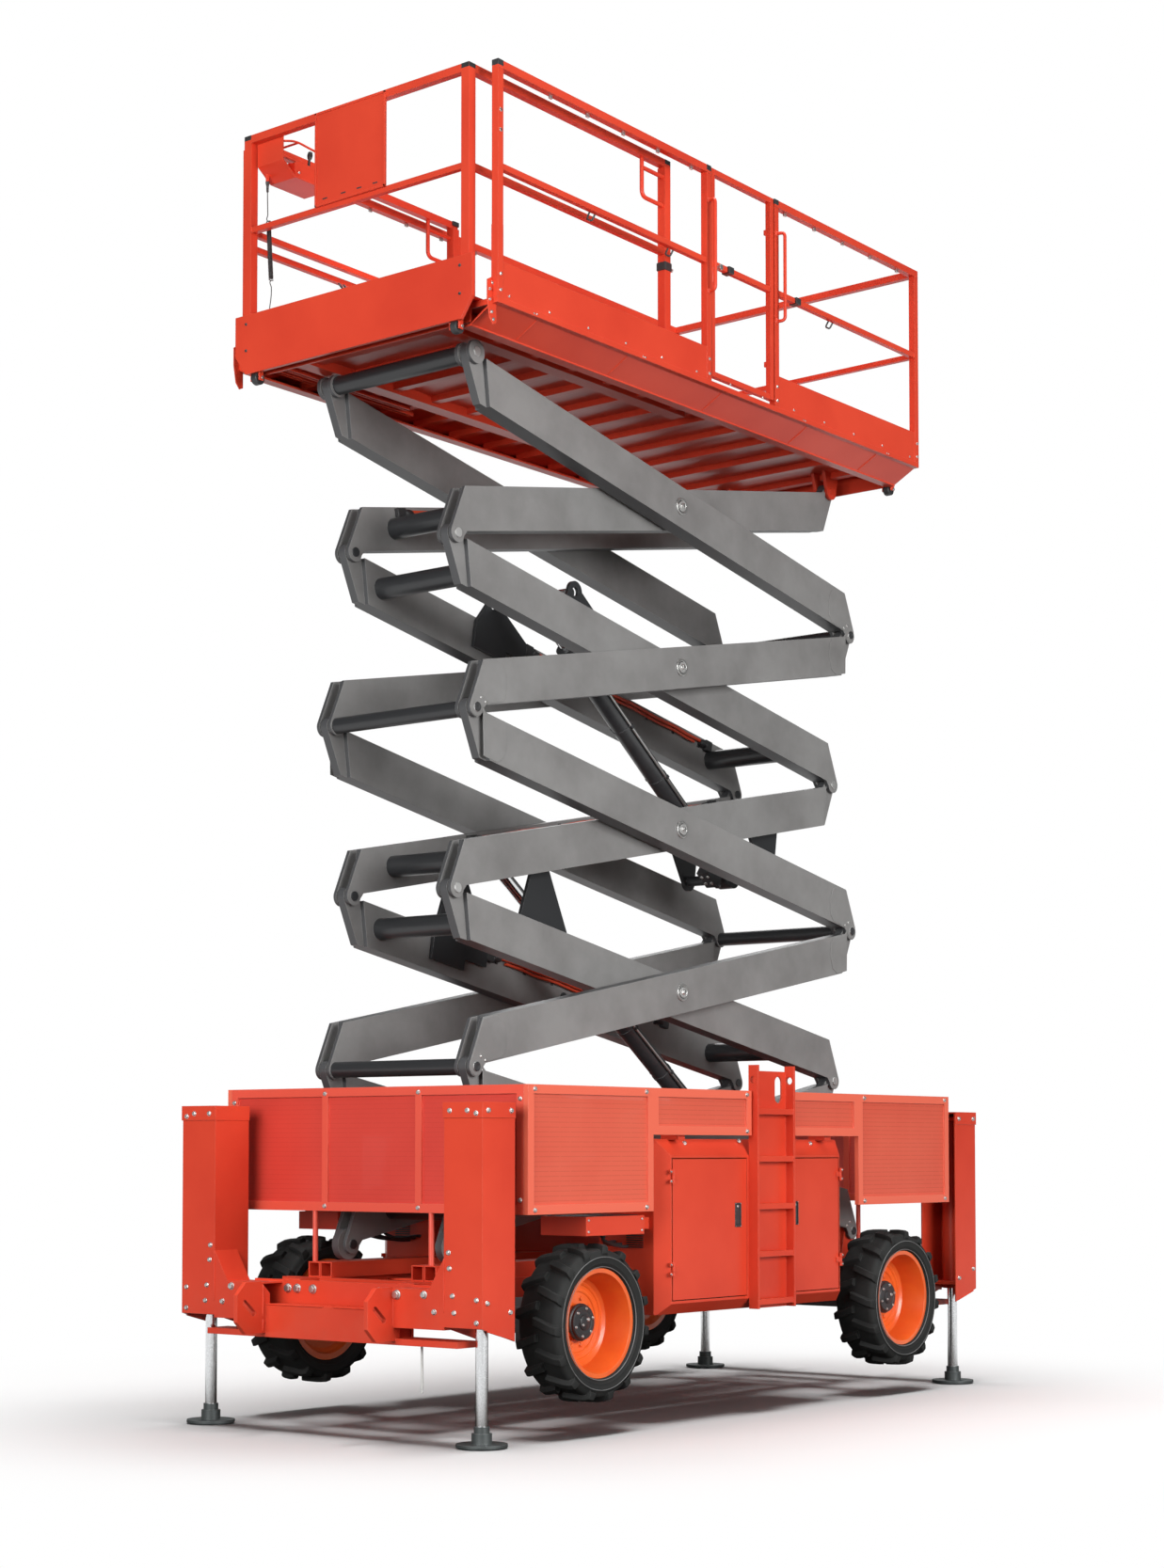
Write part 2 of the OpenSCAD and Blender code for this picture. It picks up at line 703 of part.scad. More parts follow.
module foot(sx, sy) color("dimgray") translate([sx * leg_x, sy * leg_y, 0]) {
  cylinder(r = pad_r - 10, h = 6);
  translate([0, 0, 6]) cylinder(r = pad_r, h = 14);
  difference() {
    union() {
      translate([0, 0, 19]) cylinder(r = 49, h = 50);
      translate([0, 0, 68]) cylinder(r = leg_r + 8, h = 34);
    }
    translate([0, 0, 40]) cylinder(r = leg_r, h = 70);
  }
}

// Platform

joist_pitch = 305;

module deck() color("firebrick") {
  under = floor_z - 13;
  lip = under - 16;
  bevel = 170;
  box(deck_rear + 10, deck_front - 10, -deck_y + 10, deck_y - 10, under - 1, floor_z);
  both() {
    translate([deck_rear, 0, 0]) rotate([90, 0, 90]) linear_extrude(height = deck_front - deck_rear)
      polygon([[deck_y - 10, beam_top], [deck_y, beam_top], [deck_y, lip], [deck_y - 34, lip],
        [deck_y - bevel, beam_low + 8], [deck_y - bevel, beam_low], [deck_y - bevel - 60, beam_low],
        [deck_y - bevel - 60, beam_low + 10], [deck_y - bevel - 10, beam_low + 10],
        [deck_y - 44, lip + 8], [deck_y - 10, lip + 8]]);
    box(0, deck_front - 20, outer_y - 45, outer_y + 45, plat + top_roller_r + 5, under);
    for (s = [-1, 1]) translate([rear_x, inner_y + s * (arm_w / 2 - 10), plat]) slab(20) {
      circle(r = eye_r);
      polygon([[-49, 8], [-80, under - plat], [80, under - plat], [49, 8]]);
    }
    translate([rear_x, inner_y, plat]) rod_y(end_pin_r, -arm_w / 2 - 6, arm_w / 2 + 6);
  }
  for (x = [deck_rear + 140 : joist_pitch : deck_front - 100])
    box(x, x + 50, -deck_y + 78, deck_y - 78, under - 35, under);
  box(deck_rear, deck_rear + 10, -deck_y + bevel + 5, deck_y - bevel - 5, beam_low, beam_top);
  box(deck_front - 10, deck_front, -deck_y + bevel + 5, deck_y - bevel - 5, beam_low + 20, beam_top);
  for (x = [deck_rear, deck_front - 10]) box(x, x + 10, -deck_y, deck_y, lip, beam_top);
}

// One run of guard rail along the side between two posts
module side_run(x0, x1, posts = []) {
  y = deck_y - tube;
  for (x = concat([x0, x1 - tube], posts)) box(x, x + tube, y, y + tube, floor_z, rail_z - tube);
  box(x0, x1, y, y + tube, rail_z - tube, rail_z);
  box(x0, x1, y + 5, y + tube - 5, mid_z - 30, mid_z);
  box(x0 + 5, x1 - 5, y + tube - 12, y + tube - 4, floor_z, floor_z + toe_h);
}

gate_x0 = -318;
gate_x1 = 282;
gate_hinges = [200, 950];

gate_post = 8;
sleeve_h = 365;
right_front = deck_front - 62;

// The thicker foot of a corner post
module sleeve(x) {
  y = deck_y - tube;
  box(x - 6, x + tube - 4, y - 6, y + tube - 4, floor_z, floor_z + sleeve_h);
}

module rail_left_front() color("firebrick") {
  side_run(gate_x1 + gate_post, deck_front);
  sleeve(deck_front - tube);
}

module rail_left_rear() color("firebrick") {
  y = deck_y - tube;
  side_run(deck_rear, gate_x0 - gate_post);
  for (z = gate_hinges) translate([gate_x0 - 4, y - 9, floor_z + z]) {
    cylinder(r = 4, h = 70);
    for (h = [0, 50]) translate([0, 0, h]) {
      cylinder(r = 8, h = 20);
      translate([-34, 0, 0]) cube([34, 10, 20]);
    }
  }
}

module rail_right() color("firebrick") mirror([0, 1, 0]) {
  side_run(deck_rear, right_front, [gate_x0 - tube - gate_post, gate_x1 + gate_post]);
  sleeve(right_front - tube);
}

module rail_rear() color("firebrick") {
  y = deck_y - tube;
  box(deck_rear, deck_rear + tube, -y, y, rail_z - tube, rail_z);
  box(deck_rear + 5, deck_rear + tube - 5, -y, y, mid_z - 30, mid_z);
  box(deck_rear + 4, deck_rear + 12, -y, y, floor_z, floor_z + toe_h);
}

module gate() color("firebrick") difference() {
  y = deck_y - tube;
  union() {
    gate_frame(y);
    for (z = gate_hinges) translate([gate_x0 - 4, y - 9, floor_z + z + 21]) {
      cylinder(r = 8, h = 28);
      cube([36, 15, 28]);
    }
  }
  for (z = gate_hinges) translate([gate_x0 - 4, y - 9, floor_z + z]) cylinder(r = 4 + fit, h = 70);
}

module gate_frame(y) {
  for (x = [gate_x0, gate_x1 - 32]) box(x, x + 32, y + 4, y + 36, floor_z + 30, rail_z - 30);
  box(gate_x0, gate_x1, y + 4, y + 36, rail_z - 34, rail_z - 2);
  box(gate_x0, gate_x1, y + 6, y + 34, mid_z - 30, mid_z);
  box(gate_x0, gate_x1, y + 6, y + 34, floor_z + 30, floor_z + 60);
}

ext_rear = 480;
ext_mid = mid_z + 18;
ext_low = floor_z + 6;
ext_top = floor_z + 22;
socket_at = control_route[len(control_route) - 1];

module sliding_deck() color("firebrick") {
  both() for (x = [ext_rear + 20, 1880]) box(x, x + 120, ext_y - 130, ext_y - 60, floor_z + fit, ext_low + 1);
  box(ext_rear, ext_front - 10, -ext_y, ext_y, ext_low, ext_top);
  translate([ext_front - 20, 0, 0]) rotate([90, 0, 90]) linear_extrude(height = 20)
    polygon([[-ext_y - 40, floor_z + 215], [ext_y + 40, floor_z + 215], [ext_y + 40, floor_z + 5],
      [ext_y - 35, floor_z - 100], [-ext_y + 35, floor_z - 100], [-ext_y - 40, floor_z + 5]]);
  translate([socket_at[0], socket_at[1], 0]) {
    translate([0, 0, ext_top - 1]) cylinder(r = 24, h = 31);
    translate([0, 0, ext_top + 29]) cylinder(r = 14, h = socket_at[2] - ext_top - 29);
  }
}

module sliding_rails() color("firebrick") {
  x1 = ext_front - 20;
  both() {
    for (x = [ext_rear, x1 - post]) box(x, x + post, ext_y - post, ext_y, ext_top, rail_z - tube);
    box(ext_rear, x1, ext_y - tube, ext_y, rail_z - tube - 1, rail_z);
    box(ext_rear, x1, ext_y - tube + 5, ext_y - 5, ext_mid - 30, ext_mid);
  }
  box(x1 - tube, x1, -ext_y, ext_y, rail_z - tube - 1, rail_z);
  box(x1 - tube + 5, x1 - 5, -ext_y + tube, ext_y - tube, ext_mid - 30, ext_mid);
  box(x1 - 4, x1 + 4, -260, 230, ext_mid - 5, rail_z - 5);
}

// A bent hood hung from the front rail, with the console on its shelf
module control_box() color("firebrick") {
  x1 = ext_front - 20 - tube;
  z = rail_z - tube;
  translate([0, -630, 0]) {
    slab(185) polygon([[x1, z + 38], [x1 - 8, z + 38], [x1 - 8, z - 117], [x1 - 100, z - 182],
      [x1 - 352, z - 182], [x1 - 352, z - 190], [x1 - 97, z - 190], [x1, z - 121]]);
    slab(150) polygon([[x1 - 340, z - 183], [x1 - 110, z - 183], [x1 - 110, z - 100], [x1 - 150, z - 80],
      [x1 - 340, z - 110]]);
  }
  translate([control_route[0][0], control_route[0][1], control_route[0][2]]) cylinder(r = 10, h = 46);
}

// The parts

chassis_frame();
base_rails();
front_axle();
rear_axle();
end_screens();
side_screens();
side_boxes();
ladder();
outrigger_frames();
engine_block();
fluid_tank();
color("dimgray") hose(strap_route);  // earth_strap
door(doors[0]);  // door_left_front
door(doors[1]);  // door_left_rear
mirror([0, 1, 0]) door(doors[0]);  // door_right_front
mirror([0, 1, 0]) door(doors[1]);  // door_right_rear
leg_rod(1, 1);  // leg_rod_1
leg_rod(1, -1);  // leg_rod_2
leg_rod(-1, 1);  // leg_rod_3
leg_rod(-1, -1);  // leg_rod_4
foot(1, 1);  // foot_1
foot(1, -1);  // foot_2
foot(-1, 1);  // foot_3
foot(-1, -1);  // foot_4
knuckle(1);  // knuckle_left
knuckle(-1);  // knuckle_right
tyre_at(axle_x, 1);  // tyre_1
tyre_at(axle_x, -1);  // tyre_2
tyre_at(-axle_x, 1);  // tyre_3
tyre_at(-axle_x, -1);  // tyre_4
rim_at(axle_x, 1);  // rim_1
rim_at(axle_x, -1);  // rim_2
rim_at(-axle_x, 1);  // rim_3
rim_at(-axle_x, -1);  // rim_4
color("gray") outer_pair(1);  // outer_arm_1
color("gray") outer_pair(2);  // outer_arm_2
color("gray") outer_pair(3);  // outer_arm_3
color("gray") outer_pair(4);  // outer_arm_4
color("gray") outer_pair(5);  // outer_arm_5
color("gray") inner_pair(1);  // inner_arm_1
color("gray") inner_pair(2);  // inner_arm_2
color("gray") inner_pair(3);  // inner_arm_3
color("gray") inner_pair(4);  // inner_arm_4
color("gray") inner_pair(5);  // inner_arm_5
color("dimgray")  // lower_barrel
  along(aft(1, base_1), fore(2, eye_2)) barrel(low_barrel_len);
color("silver") along(aft(1, base_1), fore(2, eye_2))  // lower_ram
  ram(low_barrel_len + low_out, 1100);
color("dimgray")  // upper_barrel
  along(aft(3, base_3), fore(4, eye_4)) barrel(up_barrel_len);
color("silver") along(aft(3, base_3), fore(4, eye_4))  // upper_ram
  ram(up_barrel_len + up_out, 700);
deck();
rail_left_front();
rail_left_rear();
rail_right();
rail_rear();
gate();
sliding_deck();
sliding_rails();
control_box();
color("black") hose(control_route);  // control_lead
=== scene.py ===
import math
import bpy
import bmesh
from mathutils import Matrix, Vector


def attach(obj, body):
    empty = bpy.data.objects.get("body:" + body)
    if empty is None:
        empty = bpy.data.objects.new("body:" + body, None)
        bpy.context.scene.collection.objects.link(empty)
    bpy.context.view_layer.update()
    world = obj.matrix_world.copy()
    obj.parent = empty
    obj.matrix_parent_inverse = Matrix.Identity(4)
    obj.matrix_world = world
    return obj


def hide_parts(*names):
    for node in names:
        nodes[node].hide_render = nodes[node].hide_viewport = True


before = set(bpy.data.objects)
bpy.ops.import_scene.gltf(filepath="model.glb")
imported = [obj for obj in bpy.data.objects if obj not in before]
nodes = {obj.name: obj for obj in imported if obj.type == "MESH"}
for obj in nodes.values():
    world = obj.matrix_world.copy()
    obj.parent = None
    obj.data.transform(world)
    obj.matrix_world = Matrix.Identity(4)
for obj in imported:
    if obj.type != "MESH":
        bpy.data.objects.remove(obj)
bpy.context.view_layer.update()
scene = bpy.context.scene
print("frame loaded,", len(nodes), "CAD nodes")

# camera first, at the photograph's angle

photoView = dict(place=(11.6964, 8.9822, 1.4169), yaw=38.416, pitch=2.6, lens=59.863,
                 shift=(.0076, .1573), reach=300)


def makeCamera(v):
    lens = bpy.data.cameras.new("photoView")
    lens.lens = v["lens"]
    lens.shift_x, lens.shift_y = v["shift"]
    lens.clip_end = v["reach"]
    stand = bpy.data.objects.new("photoView", lens)
    yaw, pitch = math.radians(v["yaw"]), math.radians(v["pitch"])
    look = Vector((-math.cos(yaw) * math.cos(pitch), -math.sin(yaw) * math.cos(pitch), math.sin(pitch)))
    stand.location = v["place"]
    stand.rotation_euler = look.to_track_quat("-Z", "Y").to_euler()
    scene.collection.objects.link(stand)
    scene.camera = stand


makeCamera(photoView)


# shader wiring

class Wire:  # a socket that takes part in sums
    def __init__(self, finish, socket):
        self.finish, self.socket = finish, socket

    def sum(self, operation, *terms):
        return self.finish.node("Math", dict(operation=operation), dict(enumerate(terms)))

    def __add__(self, b): return self.sum("ADD", self, b)
    def __radd__(self, b): return self.sum("ADD", b, self)
    def __sub__(self, b): return self.sum("SUBTRACT", self, b)
    def __rsub__(self, b): return self.sum("SUBTRACT", b, self)
    def __mul__(self, b): return self.sum("MULTIPLY", self, b)
    def __rmul__(self, b): return self.sum("MULTIPLY", b, self)
    def __truediv__(self, b): return self.sum("DIVIDE", self, b)
    def __gt__(self, b): return self.sum("GREATER_THAN", self, b)
    def __lt__(self, b): return self.sum("LESS_THAN", self, b)
    def __abs__(self): return self.sum("ABSOLUTE", self)
    def part(self): return self.sum("FRACT", self)


class Finish:  # one material and its nodes
    def __init__(self, name, **fixed):
        self.material = bpy.data.materials.new(name)
        self.material.use_nodes = True
        self.tree = self.material.node_tree
        self.shader = self.tree.nodes["Principled BSDF"]
        for label, value in fixed.items():
            self.shader.inputs[label.replace("_", " ")].default_value = value

    def node(self, kind, settings=None, sockets=None, out=0):
        made = self.tree.nodes.new("ShaderNode" + kind)
        for key, value in (settings or {}).items():
            if key == "stops":
                for stop, (at, shade) in zip(made.color_ramp.elements, value):
                    stop.position, stop.color = at, (shade, shade, shade, 1)
            else:
                setattr(made, key, value)
        for key, value in (sockets or {}).items():
            self.plug(value, made.inputs[key])
        return Wire(self, made.outputs[out])

    def plug(self, value, socket):
        if isinstance(value, Wire):
            self.tree.links.new(value.socket, socket)
        elif isinstance(value, tuple) and socket.type == "RGBA":
            socket.default_value = (*value, 1)
        else:
            socket.default_value = value

    def feed(self, **sockets):
        for label, value in sockets.items():
            self.plug(value, self.shader.inputs[label.replace("_", " ")])

    def place(self): return self.node("TexCoord", out="Object")

    def axes(self, where):
        parts = self.node("SeparateXYZ", None, {0: where}).socket.node.outputs
        return [Wire(self, socket) for socket in parts]

    def noise(self, where, scale, detail, rough=.5):
        return self.node("TexNoise", None, dict(Vector=where, Scale=scale, Detail=detail, Roughness=rough))

    def ramp(self, value, *stops): return self.node("ValToRGB", dict(stops=stops), {0: value})

    def blend(self, share, a, b):
        return self.node("Mix", dict(data_type="RGBA"), {0: share, 6: a, 7: b}, out=2)

    def clouded(self, cloud, span, a, b):  # one shade drifting into another
        return self.blend(self.ramp(cloud, (span[0], 0), (span[1], 1)), a, b)

    def worn(self, rim, colour, edge, full=.3, most=.55, start=.02):  # paler along edges: a painted highlight, with some rubbed wear
        return self.blend(self.ramp(rim, (start, 0), (full, most)), colour, edge)

    def faces(self): return self.axes(self.node("NewGeometry", out="True Normal"))

    def rounded(self, radius): return self.node("Bevel", dict(samples=4), dict(Radius=radius))

    def edges(self, soft):  # 0 on flats, rising where the rounded normal leaves the flat one
        flat = self.node("NewGeometry", out="Normal")
        return 1 - self.node("VectorMath", dict(operation="DOT_PRODUCT"), {0: soft, 1: flat}, out="Value")

    def bump(self, height, depth, strength, under=None):
        sockets = dict(Height=height, Distance=depth, Strength=strength)
        if under:
            sockets["Normal"] = under
        return self.node("Bump", None, sockets)


# finishes

softDrift, wideDrift = (.35, .7), (.3, .75)
# the rubbed colour lies along edges: a painted highlight, with some wear
redLook = dict(fresh=(.69, .06, .026), deep=(.59, .042, .018), rubbedHighlight=(.8, .17, .09),
               dust=(.42, .16, .1), dustTop=.75, dustMost=.35, edge=.004, coat=.08)


def redPaint(name="redPaint", look=redLook):
    f = Finish(name, Coat_Weight=look["coat"], Coat_Roughness=.16, Specular_IOR_Level=.28)
    where = f.place()
    cloud = f.noise(where, 1.7, 4)
    soft = f.rounded(look["edge"])
    colour = f.clouded(cloud, softDrift, look["fresh"], look["deep"])
    # pale edges: a painted highlight, with some rubbed wear
    colour = f.worn(f.edges(soft), colour, look["rubbedHighlight"])
    low = f.ramp(f.axes(where)[2], (.0, look["dustMost"]), (look["dustTop"], 0))
    low = low * f.ramp(f.noise(where, 9, 5, .65), (.42, 0), (.72, 1))
    f.feed(Base_Color=f.blend(low, colour, look["dust"]), Roughness=.3 + .14 * cloud + .25 * low,
           Normal=f.bump(f.noise(where, 210, 2), .0006, .35, soft))
    return f


# the rubbed colour lies along edges: a painted highlight, with some wear
screenRows = dict(pitch=.024, slot=.16, length=.165, reach=.47, rubbedHighlight=(.86, .3, .21))
endLook = dict(screenRows, fresh=(.69, .056, .036), deep=(.62, .042, .026), fine=.07, open=.06,
               frame=(.74, .085, .048))
sideLook = dict(screenRows, fresh=(.76, .125, .07), deep=(.7, .095, .052), fine=.14, open=.12,
                frame=(.78, .135, .075))


def screenPaint(name, across, depth, look):  # framed sheet of fine mesh with rows of level slots
    f = Finish(name, Coat_Weight=.2, Coat_Roughness=.2)
    where = f.place()
    axes = f.axes(where)
    along, up, off = axes[across], axes[2], abs(axes[1 - across])
    panel = (off > depth[0]) * (off < depth[1]) * (abs(f.faces()[1 - across]) > .5)
    row = up / look["pitch"]
    odd = (row.sum("FLOORED_MODULO", row, 2) > 1) * .5
    run = along / look["length"] + odd
    hole = (abs(row.part() - .5) < look["slot"] / 2) * (abs(run.part() - .5) < look["reach"])
    cloud = f.noise(where, 1.5, 4)
    soft = f.rounded(.003)
    colour = f.blend(panel, look["frame"], f.clouded(cloud, softDrift, look["fresh"], look["deep"]))
    # pale edges: a painted highlight, with some rubbed wear
    colour = f.worn(f.edges(soft), colour, look["rubbedHighlight"])
    f.feed(Base_Color=colour, Roughness=.36 + .12 * cloud,
           Alpha=1 - panel * (look["fine"] + hole * look["open"]),
           Normal=f.bump(f.noise(where, 210, 2), .0006, .3, soft))
    return f


# the ends colour is a painted shade on tops, undersides and ends; the pale edge colours are painted
# highlights, with some wear
greyLook = dict(face=(.245, .242, .238), shade=(.165, .161, .158), ends=(.06, .061, .064),
                dark=(.022, .023, .025), tubeEdgeHighlight=(.12, .12, .12), edge=(.4, .4, .39), pin=(.55, .55, .54))


def armPaint(name, insideY, outsideY, look=greyLook):  # sideways faces pale as a painted sheen, other faces dark as painted shade, dark cross tubes, bare pin ends
    f = Finish(name, Specular_IOR_Level=.5, Coat_Weight=.12, Coat_Roughness=.25)
    where = f.place()
    off = abs(f.axes(where)[1])
    inside, bare = off < insideY, off > outsideY
    # faces that don't point sideways get the dark ends colour as painted shade, and the flanks keep a pale
    # painted sheen
    litFlank = abs(f.faces()[1]) > .6
    cloud = f.noise(where, 2.3, 5, .6)
    soft = f.rounded(.0045)
    rim = f.edges(soft)
    colour = f.blend(litFlank, look["ends"], f.clouded(cloud, (.32, .72), look["face"], look["shade"]))
    # pale edges on the flanks and on the cross tubes: a painted highlight, with some wear
    colour = f.worn(rim, colour, look["edge"], .28, .6)
    tubes = f.worn(rim, look["dark"], look["tubeEdgeHighlight"], .3, .4, .03)
    colour = f.blend(bare, f.blend(inside, colour, tubes), look["pin"])
    f.feed(Base_Color=colour, Roughness=.42 + .14 * cloud - .12 * inside, Metallic=bare * .9,
           Normal=f.bump(f.noise(where, 160, 2), .0007, .35, soft))
    return f


def plainPaint(name, face, shade, edge, rough, metal=0.0, coat=.1, grain=180):
    f = Finish(name, Coat_Weight=coat, Coat_Roughness=.2, Metallic=metal)
    where = f.place()
    cloud = f.noise(where, 6, 5, .6)
    soft = f.rounded(.003)
    # pale edge colour: a painted highlight along edges, with some wear
    colour = f.worn(f.edges(soft), f.clouded(cloud, wideDrift, face, shade), edge, .3, .6)
    f.feed(Base_Color=colour, Roughness=rough - .08 + .18 * cloud,
           Normal=f.bump(f.noise(where, grain, 3), .0006, .35, soft))
    return f


tyreLook = dict(face=(.009, .01, .01), shade=(.018, .018, .017), edge=(.06, .059, .056))


def tyreRubber(look=tyreLook):
    f = Finish("tyreRubber", Specular_IOR_Level=.35)
    where = f.place()
    cloud = f.noise(where, 14, 6, .65)
    colour = f.clouded(cloud, wideDrift, look["face"], look["shade"])
    # paler edges on lugs and shoulders: a painted highlight, with some dust
    colour = f.worn(f.edges(f.rounded(.005)), colour, look["edge"], .3, .55, .03)
    f.feed(Base_Color=colour, Roughness=.62 + .22 * cloud,
           Normal=f.bump(f.noise(where, 320, 3), .0011, .5, f.rounded(.004)))
    return f


def chromeRod():
    f = Finish("chromeRod", Metallic=1.0)
    where = f.place()
    fine = f.noise(where, 90, 3)
    rings = f.node("TexWave", dict(wave_type="BANDS", bands_direction="Z"),
                   dict(Vector=where, Scale=260, Distortion=2))
    f.feed(Base_Color=f.blend(fine, (.84, .85, .86), (.7, .71, .72)), Roughness=.1 + .1 * fine,
           Normal=f.bump(rings, .0002, .08))
    return f


def deckTread(pitch=.034):  # raised tread on the walking face, plain red elsewhere
    f = redPaint("deckTread")
    x, y = f.axes(f.place())[:2]
    dash, gap = abs(((x + y) / pitch).part() - .5), abs(((x - y) / pitch).part() - .5)
    ridge = f.ramp(dash, (.1, 1), (.17, 0)) * f.ramp(gap, (.3, 1), (.38, 0))
    under = Wire(f, f.shader.inputs["Normal"].links[0].from_socket)
    f.feed(Normal=f.bump(ridge * (f.faces()[2] > .8), .0022, .8, under))
    return f


red = redPaint()
treadRed = deckTread()
endScreen = screenPaint("endScreenRed", 1, (1.97, 1.982), endLook)
sideScreen = screenPaint("sideScreenRed", 0, (1.008, 1.02), sideLook)
outerGrey = armPaint("outerArmGrey", .428, .5312)
innerGrey = armPaint("innerArmGrey", .303, .4062)
rimOrange = plainPaint("rimOrange", (.88, .15, .022), (.8, .1, .016), (.92, .34, .09), .3, coat=.4)
rubber = tyreRubber()
chrome = chromeRod()
darkIron = plainPaint("darkIron", (.02, .021, .023), (.036, .036, .038), (.11, .11, .11), .45)
castIron = plainPaint("castIron", (.055, .057, .06), (.085, .086, .088), (.2, .2, .2), .55, grain=90)
footSteel = plainPaint("footSteel", (.06, .07, .07), (.095, .105, .105), (.34, .36, .36), .42, .4)
zinc = plainPaint("zincPlate", (.62, .62, .6), (.48, .48, .47), (.8, .8, .79), .3, .9, 0.0)
hoseBlack = plainPaint("hoseBlack", (.014, .014, .015), (.026, .026, .027), (.05, .05, .05), .5, grain=420)
conduitRed = plainPaint("conduitRed", (.62, .065, .02), (.48, .04, .014), (.78, .2, .09), .5, grain=300)
greyPlastic = plainPaint("greyPlastic", (.065, .067, .07), (.09, .092, .095), (.18, .18, .18), .55,
                         grain=380)
strapGrey = plainPaint("strapGrey", (.66, .66, .64), (.5, .5, .48), (.7, .7, .7), .6, grain=500)
# pale grey of the sidewall rings: a painted highlight on the raised rings
ringHighlightGrey = plainPaint("ringHighlightGrey", (.2, .2, .2), (.14, .14, .14), (.3, .3, .3), .6, grain=400)
plateGrey = armPaint("plateGrey", 0.0, 9.0)
stopRed = plainPaint("stopRed", (.62, .015, .012), (.5, .012, .01), (.75, .1, .08), .3, coat=.5)
print("finishes made")

cadFinish = {
    red: ["chassis_frame", "base_rails", "side_boxes", "ladder", "outrigger_frames", "door_left_front",
          "door_left_rear", "door_right_front", "door_right_rear", "rail_left_front", "rail_left_rear",
          "rail_right", "rail_rear", "gate", "sliding_rails", "control_box"],
    treadRed: ["deck", "sliding_deck"],
    endScreen: ["end_screens"], sideScreen: ["side_screens"],
    outerGrey: [f"outer_arm_{k}" for k in range(1, 6)], innerGrey: [f"inner_arm_{k}" for k in range(1, 6)],
    castIron: ["engine_block", "fluid_tank", "front_axle", "rear_axle", "knuckle_left", "knuckle_right"],
    rimOrange: [f"rim_{k}" for k in range(1, 5)], rubber: [f"tyre_{k}" for k in range(1, 5)],
    chrome: [f"leg_rod_{k}" for k in range(1, 5)] + ["lower_ram", "upper_ram"],
    footSteel: [f"foot_{k}" for k in range(1, 5)], darkIron: ["lower_barrel", "upper_barrel"],
    hoseBlack: ["control_lead"], strapGrey: ["earth_strap"],
}
for finish, names in cadFinish.items():
    for name in names:
        node = nodes[name]
        node.data.materials.clear()
        node.data.materials.append(finish.material)
print("CAD nodes dressed:", sum(map(len, cadFinish.values())), "of", len(nodes))


# cords

controlLead = dict(
    wire=.005, coil=.0105, pitch=.0065, steps=14, straight=.024, windIn=.036, widen=.026,
    fromBox=[(2.06, -.7, 6.5204), (2.06, -.7, 6.4954), (2.06, -.7, 6.4704), (2.06, -.7, 6.4404),
             (2.06, -.699, 6.4104), (2.06, -.698, 6.3804)],
    coiled=[(2.06, -.697, 6.3504), (2.06, -.69, 6.2904), (2.06, -.686, 6.2304), (2.06, -.682, 6.1704),
            (2.06, -.678, 6.1104), (2.06, -.674, 6.0504), (2.06, -.67, 5.9904), (2.06, -.668, 5.9504)],
    toSocket=[(2.06, -.668, 5.9204), (2.06, -.672, 5.8854), (2.06, -.68, 5.8454), (2.058, -.69, 5.8004),
              (2.054, -.697, 5.7504), (2.051, -.7, 5.7004), (2.05, -.7, 5.6404)])
earthStrap = dict(
    wire=.012,
    route=[(2.228, .56, .47), (2.229, .561, .44), (2.231, .563, .405), (2.232, .565, .37),
           (2.231, .566, .335), (2.229, .565, .3), (2.228, .562, .265), (2.228, .56, .238)])


def smoothRoute(points, parts):
    p = [Vector(q) for q in points]
    p = [2 * p[0] - p[1]] + p + [2 * p[-1] - p[-2]]
    out = []
    for i in range(1, len(p) - 2):
        a, b, c, d = p[i - 1:i + 3]
        for j in range(parts):
            t = j / parts
            out.append(.5 * (2 * b + (c - a) * t + (2 * a - 5 * b + 4 * c - d) * t * t
                             + (3 * b - a - 3 * c + d) * t ** 3))
    return out + [p[-2]]


def routeLength(points):
    return sum((b - a).length for a, b in zip(points, points[1:]))


def ease(t):
    t = max(0.0, min(1.0, t))
    return t * t * (3 - 2 * t)


def windCoil(points, c):  # turns that start and end straight
    fine = smoothRoute(points, 40)
    length = routeLength(fine)
    count = int(length / c["pitch"] * c["steps"])
    out, walked, turn, i = [], 0.0, 0.0, 0
    for n in range(1, count):
        target = length * n / count
        while walked + (fine[i + 1] - fine[i]).length < target:
            walked += (fine[i + 1] - fine[i]).length
            i += 1
        ahead = (fine[i + 1] - fine[i]).normalized()
        middle = fine[i] + ahead * (target - walked)
        side = ahead.cross(Vector((1, 0, 0))).normalized()
        inward = min(target, length - target)
        turn += 2 * math.pi / c["steps"] * ease((inward - c["straight"]) / c["windIn"])
        reach = c["coil"] * ease(inward / c["widen"])
        out.append(middle + reach * (math.cos(turn) * side + math.sin(turn) * ahead.cross(side)))
    return out


def cordCurve(name, points, wire, finish):
    line = bpy.data.curves.new(name, "CURVE")
    line.dimensions = "3D"
    line.bevel_depth = wire / 2
    line.bevel_resolution = 2
    line.use_fill_caps = True
    spline = line.splines.new("POLY")
    spline.points.add(len(points) - 1)
    for spot, p in zip(spline.points, points):
        spot.co = (*p, 1)
    line.materials.append(finish.material)
    piece = bpy.data.objects.new(name, line)
    scene.collection.objects.link(piece)
    return piece


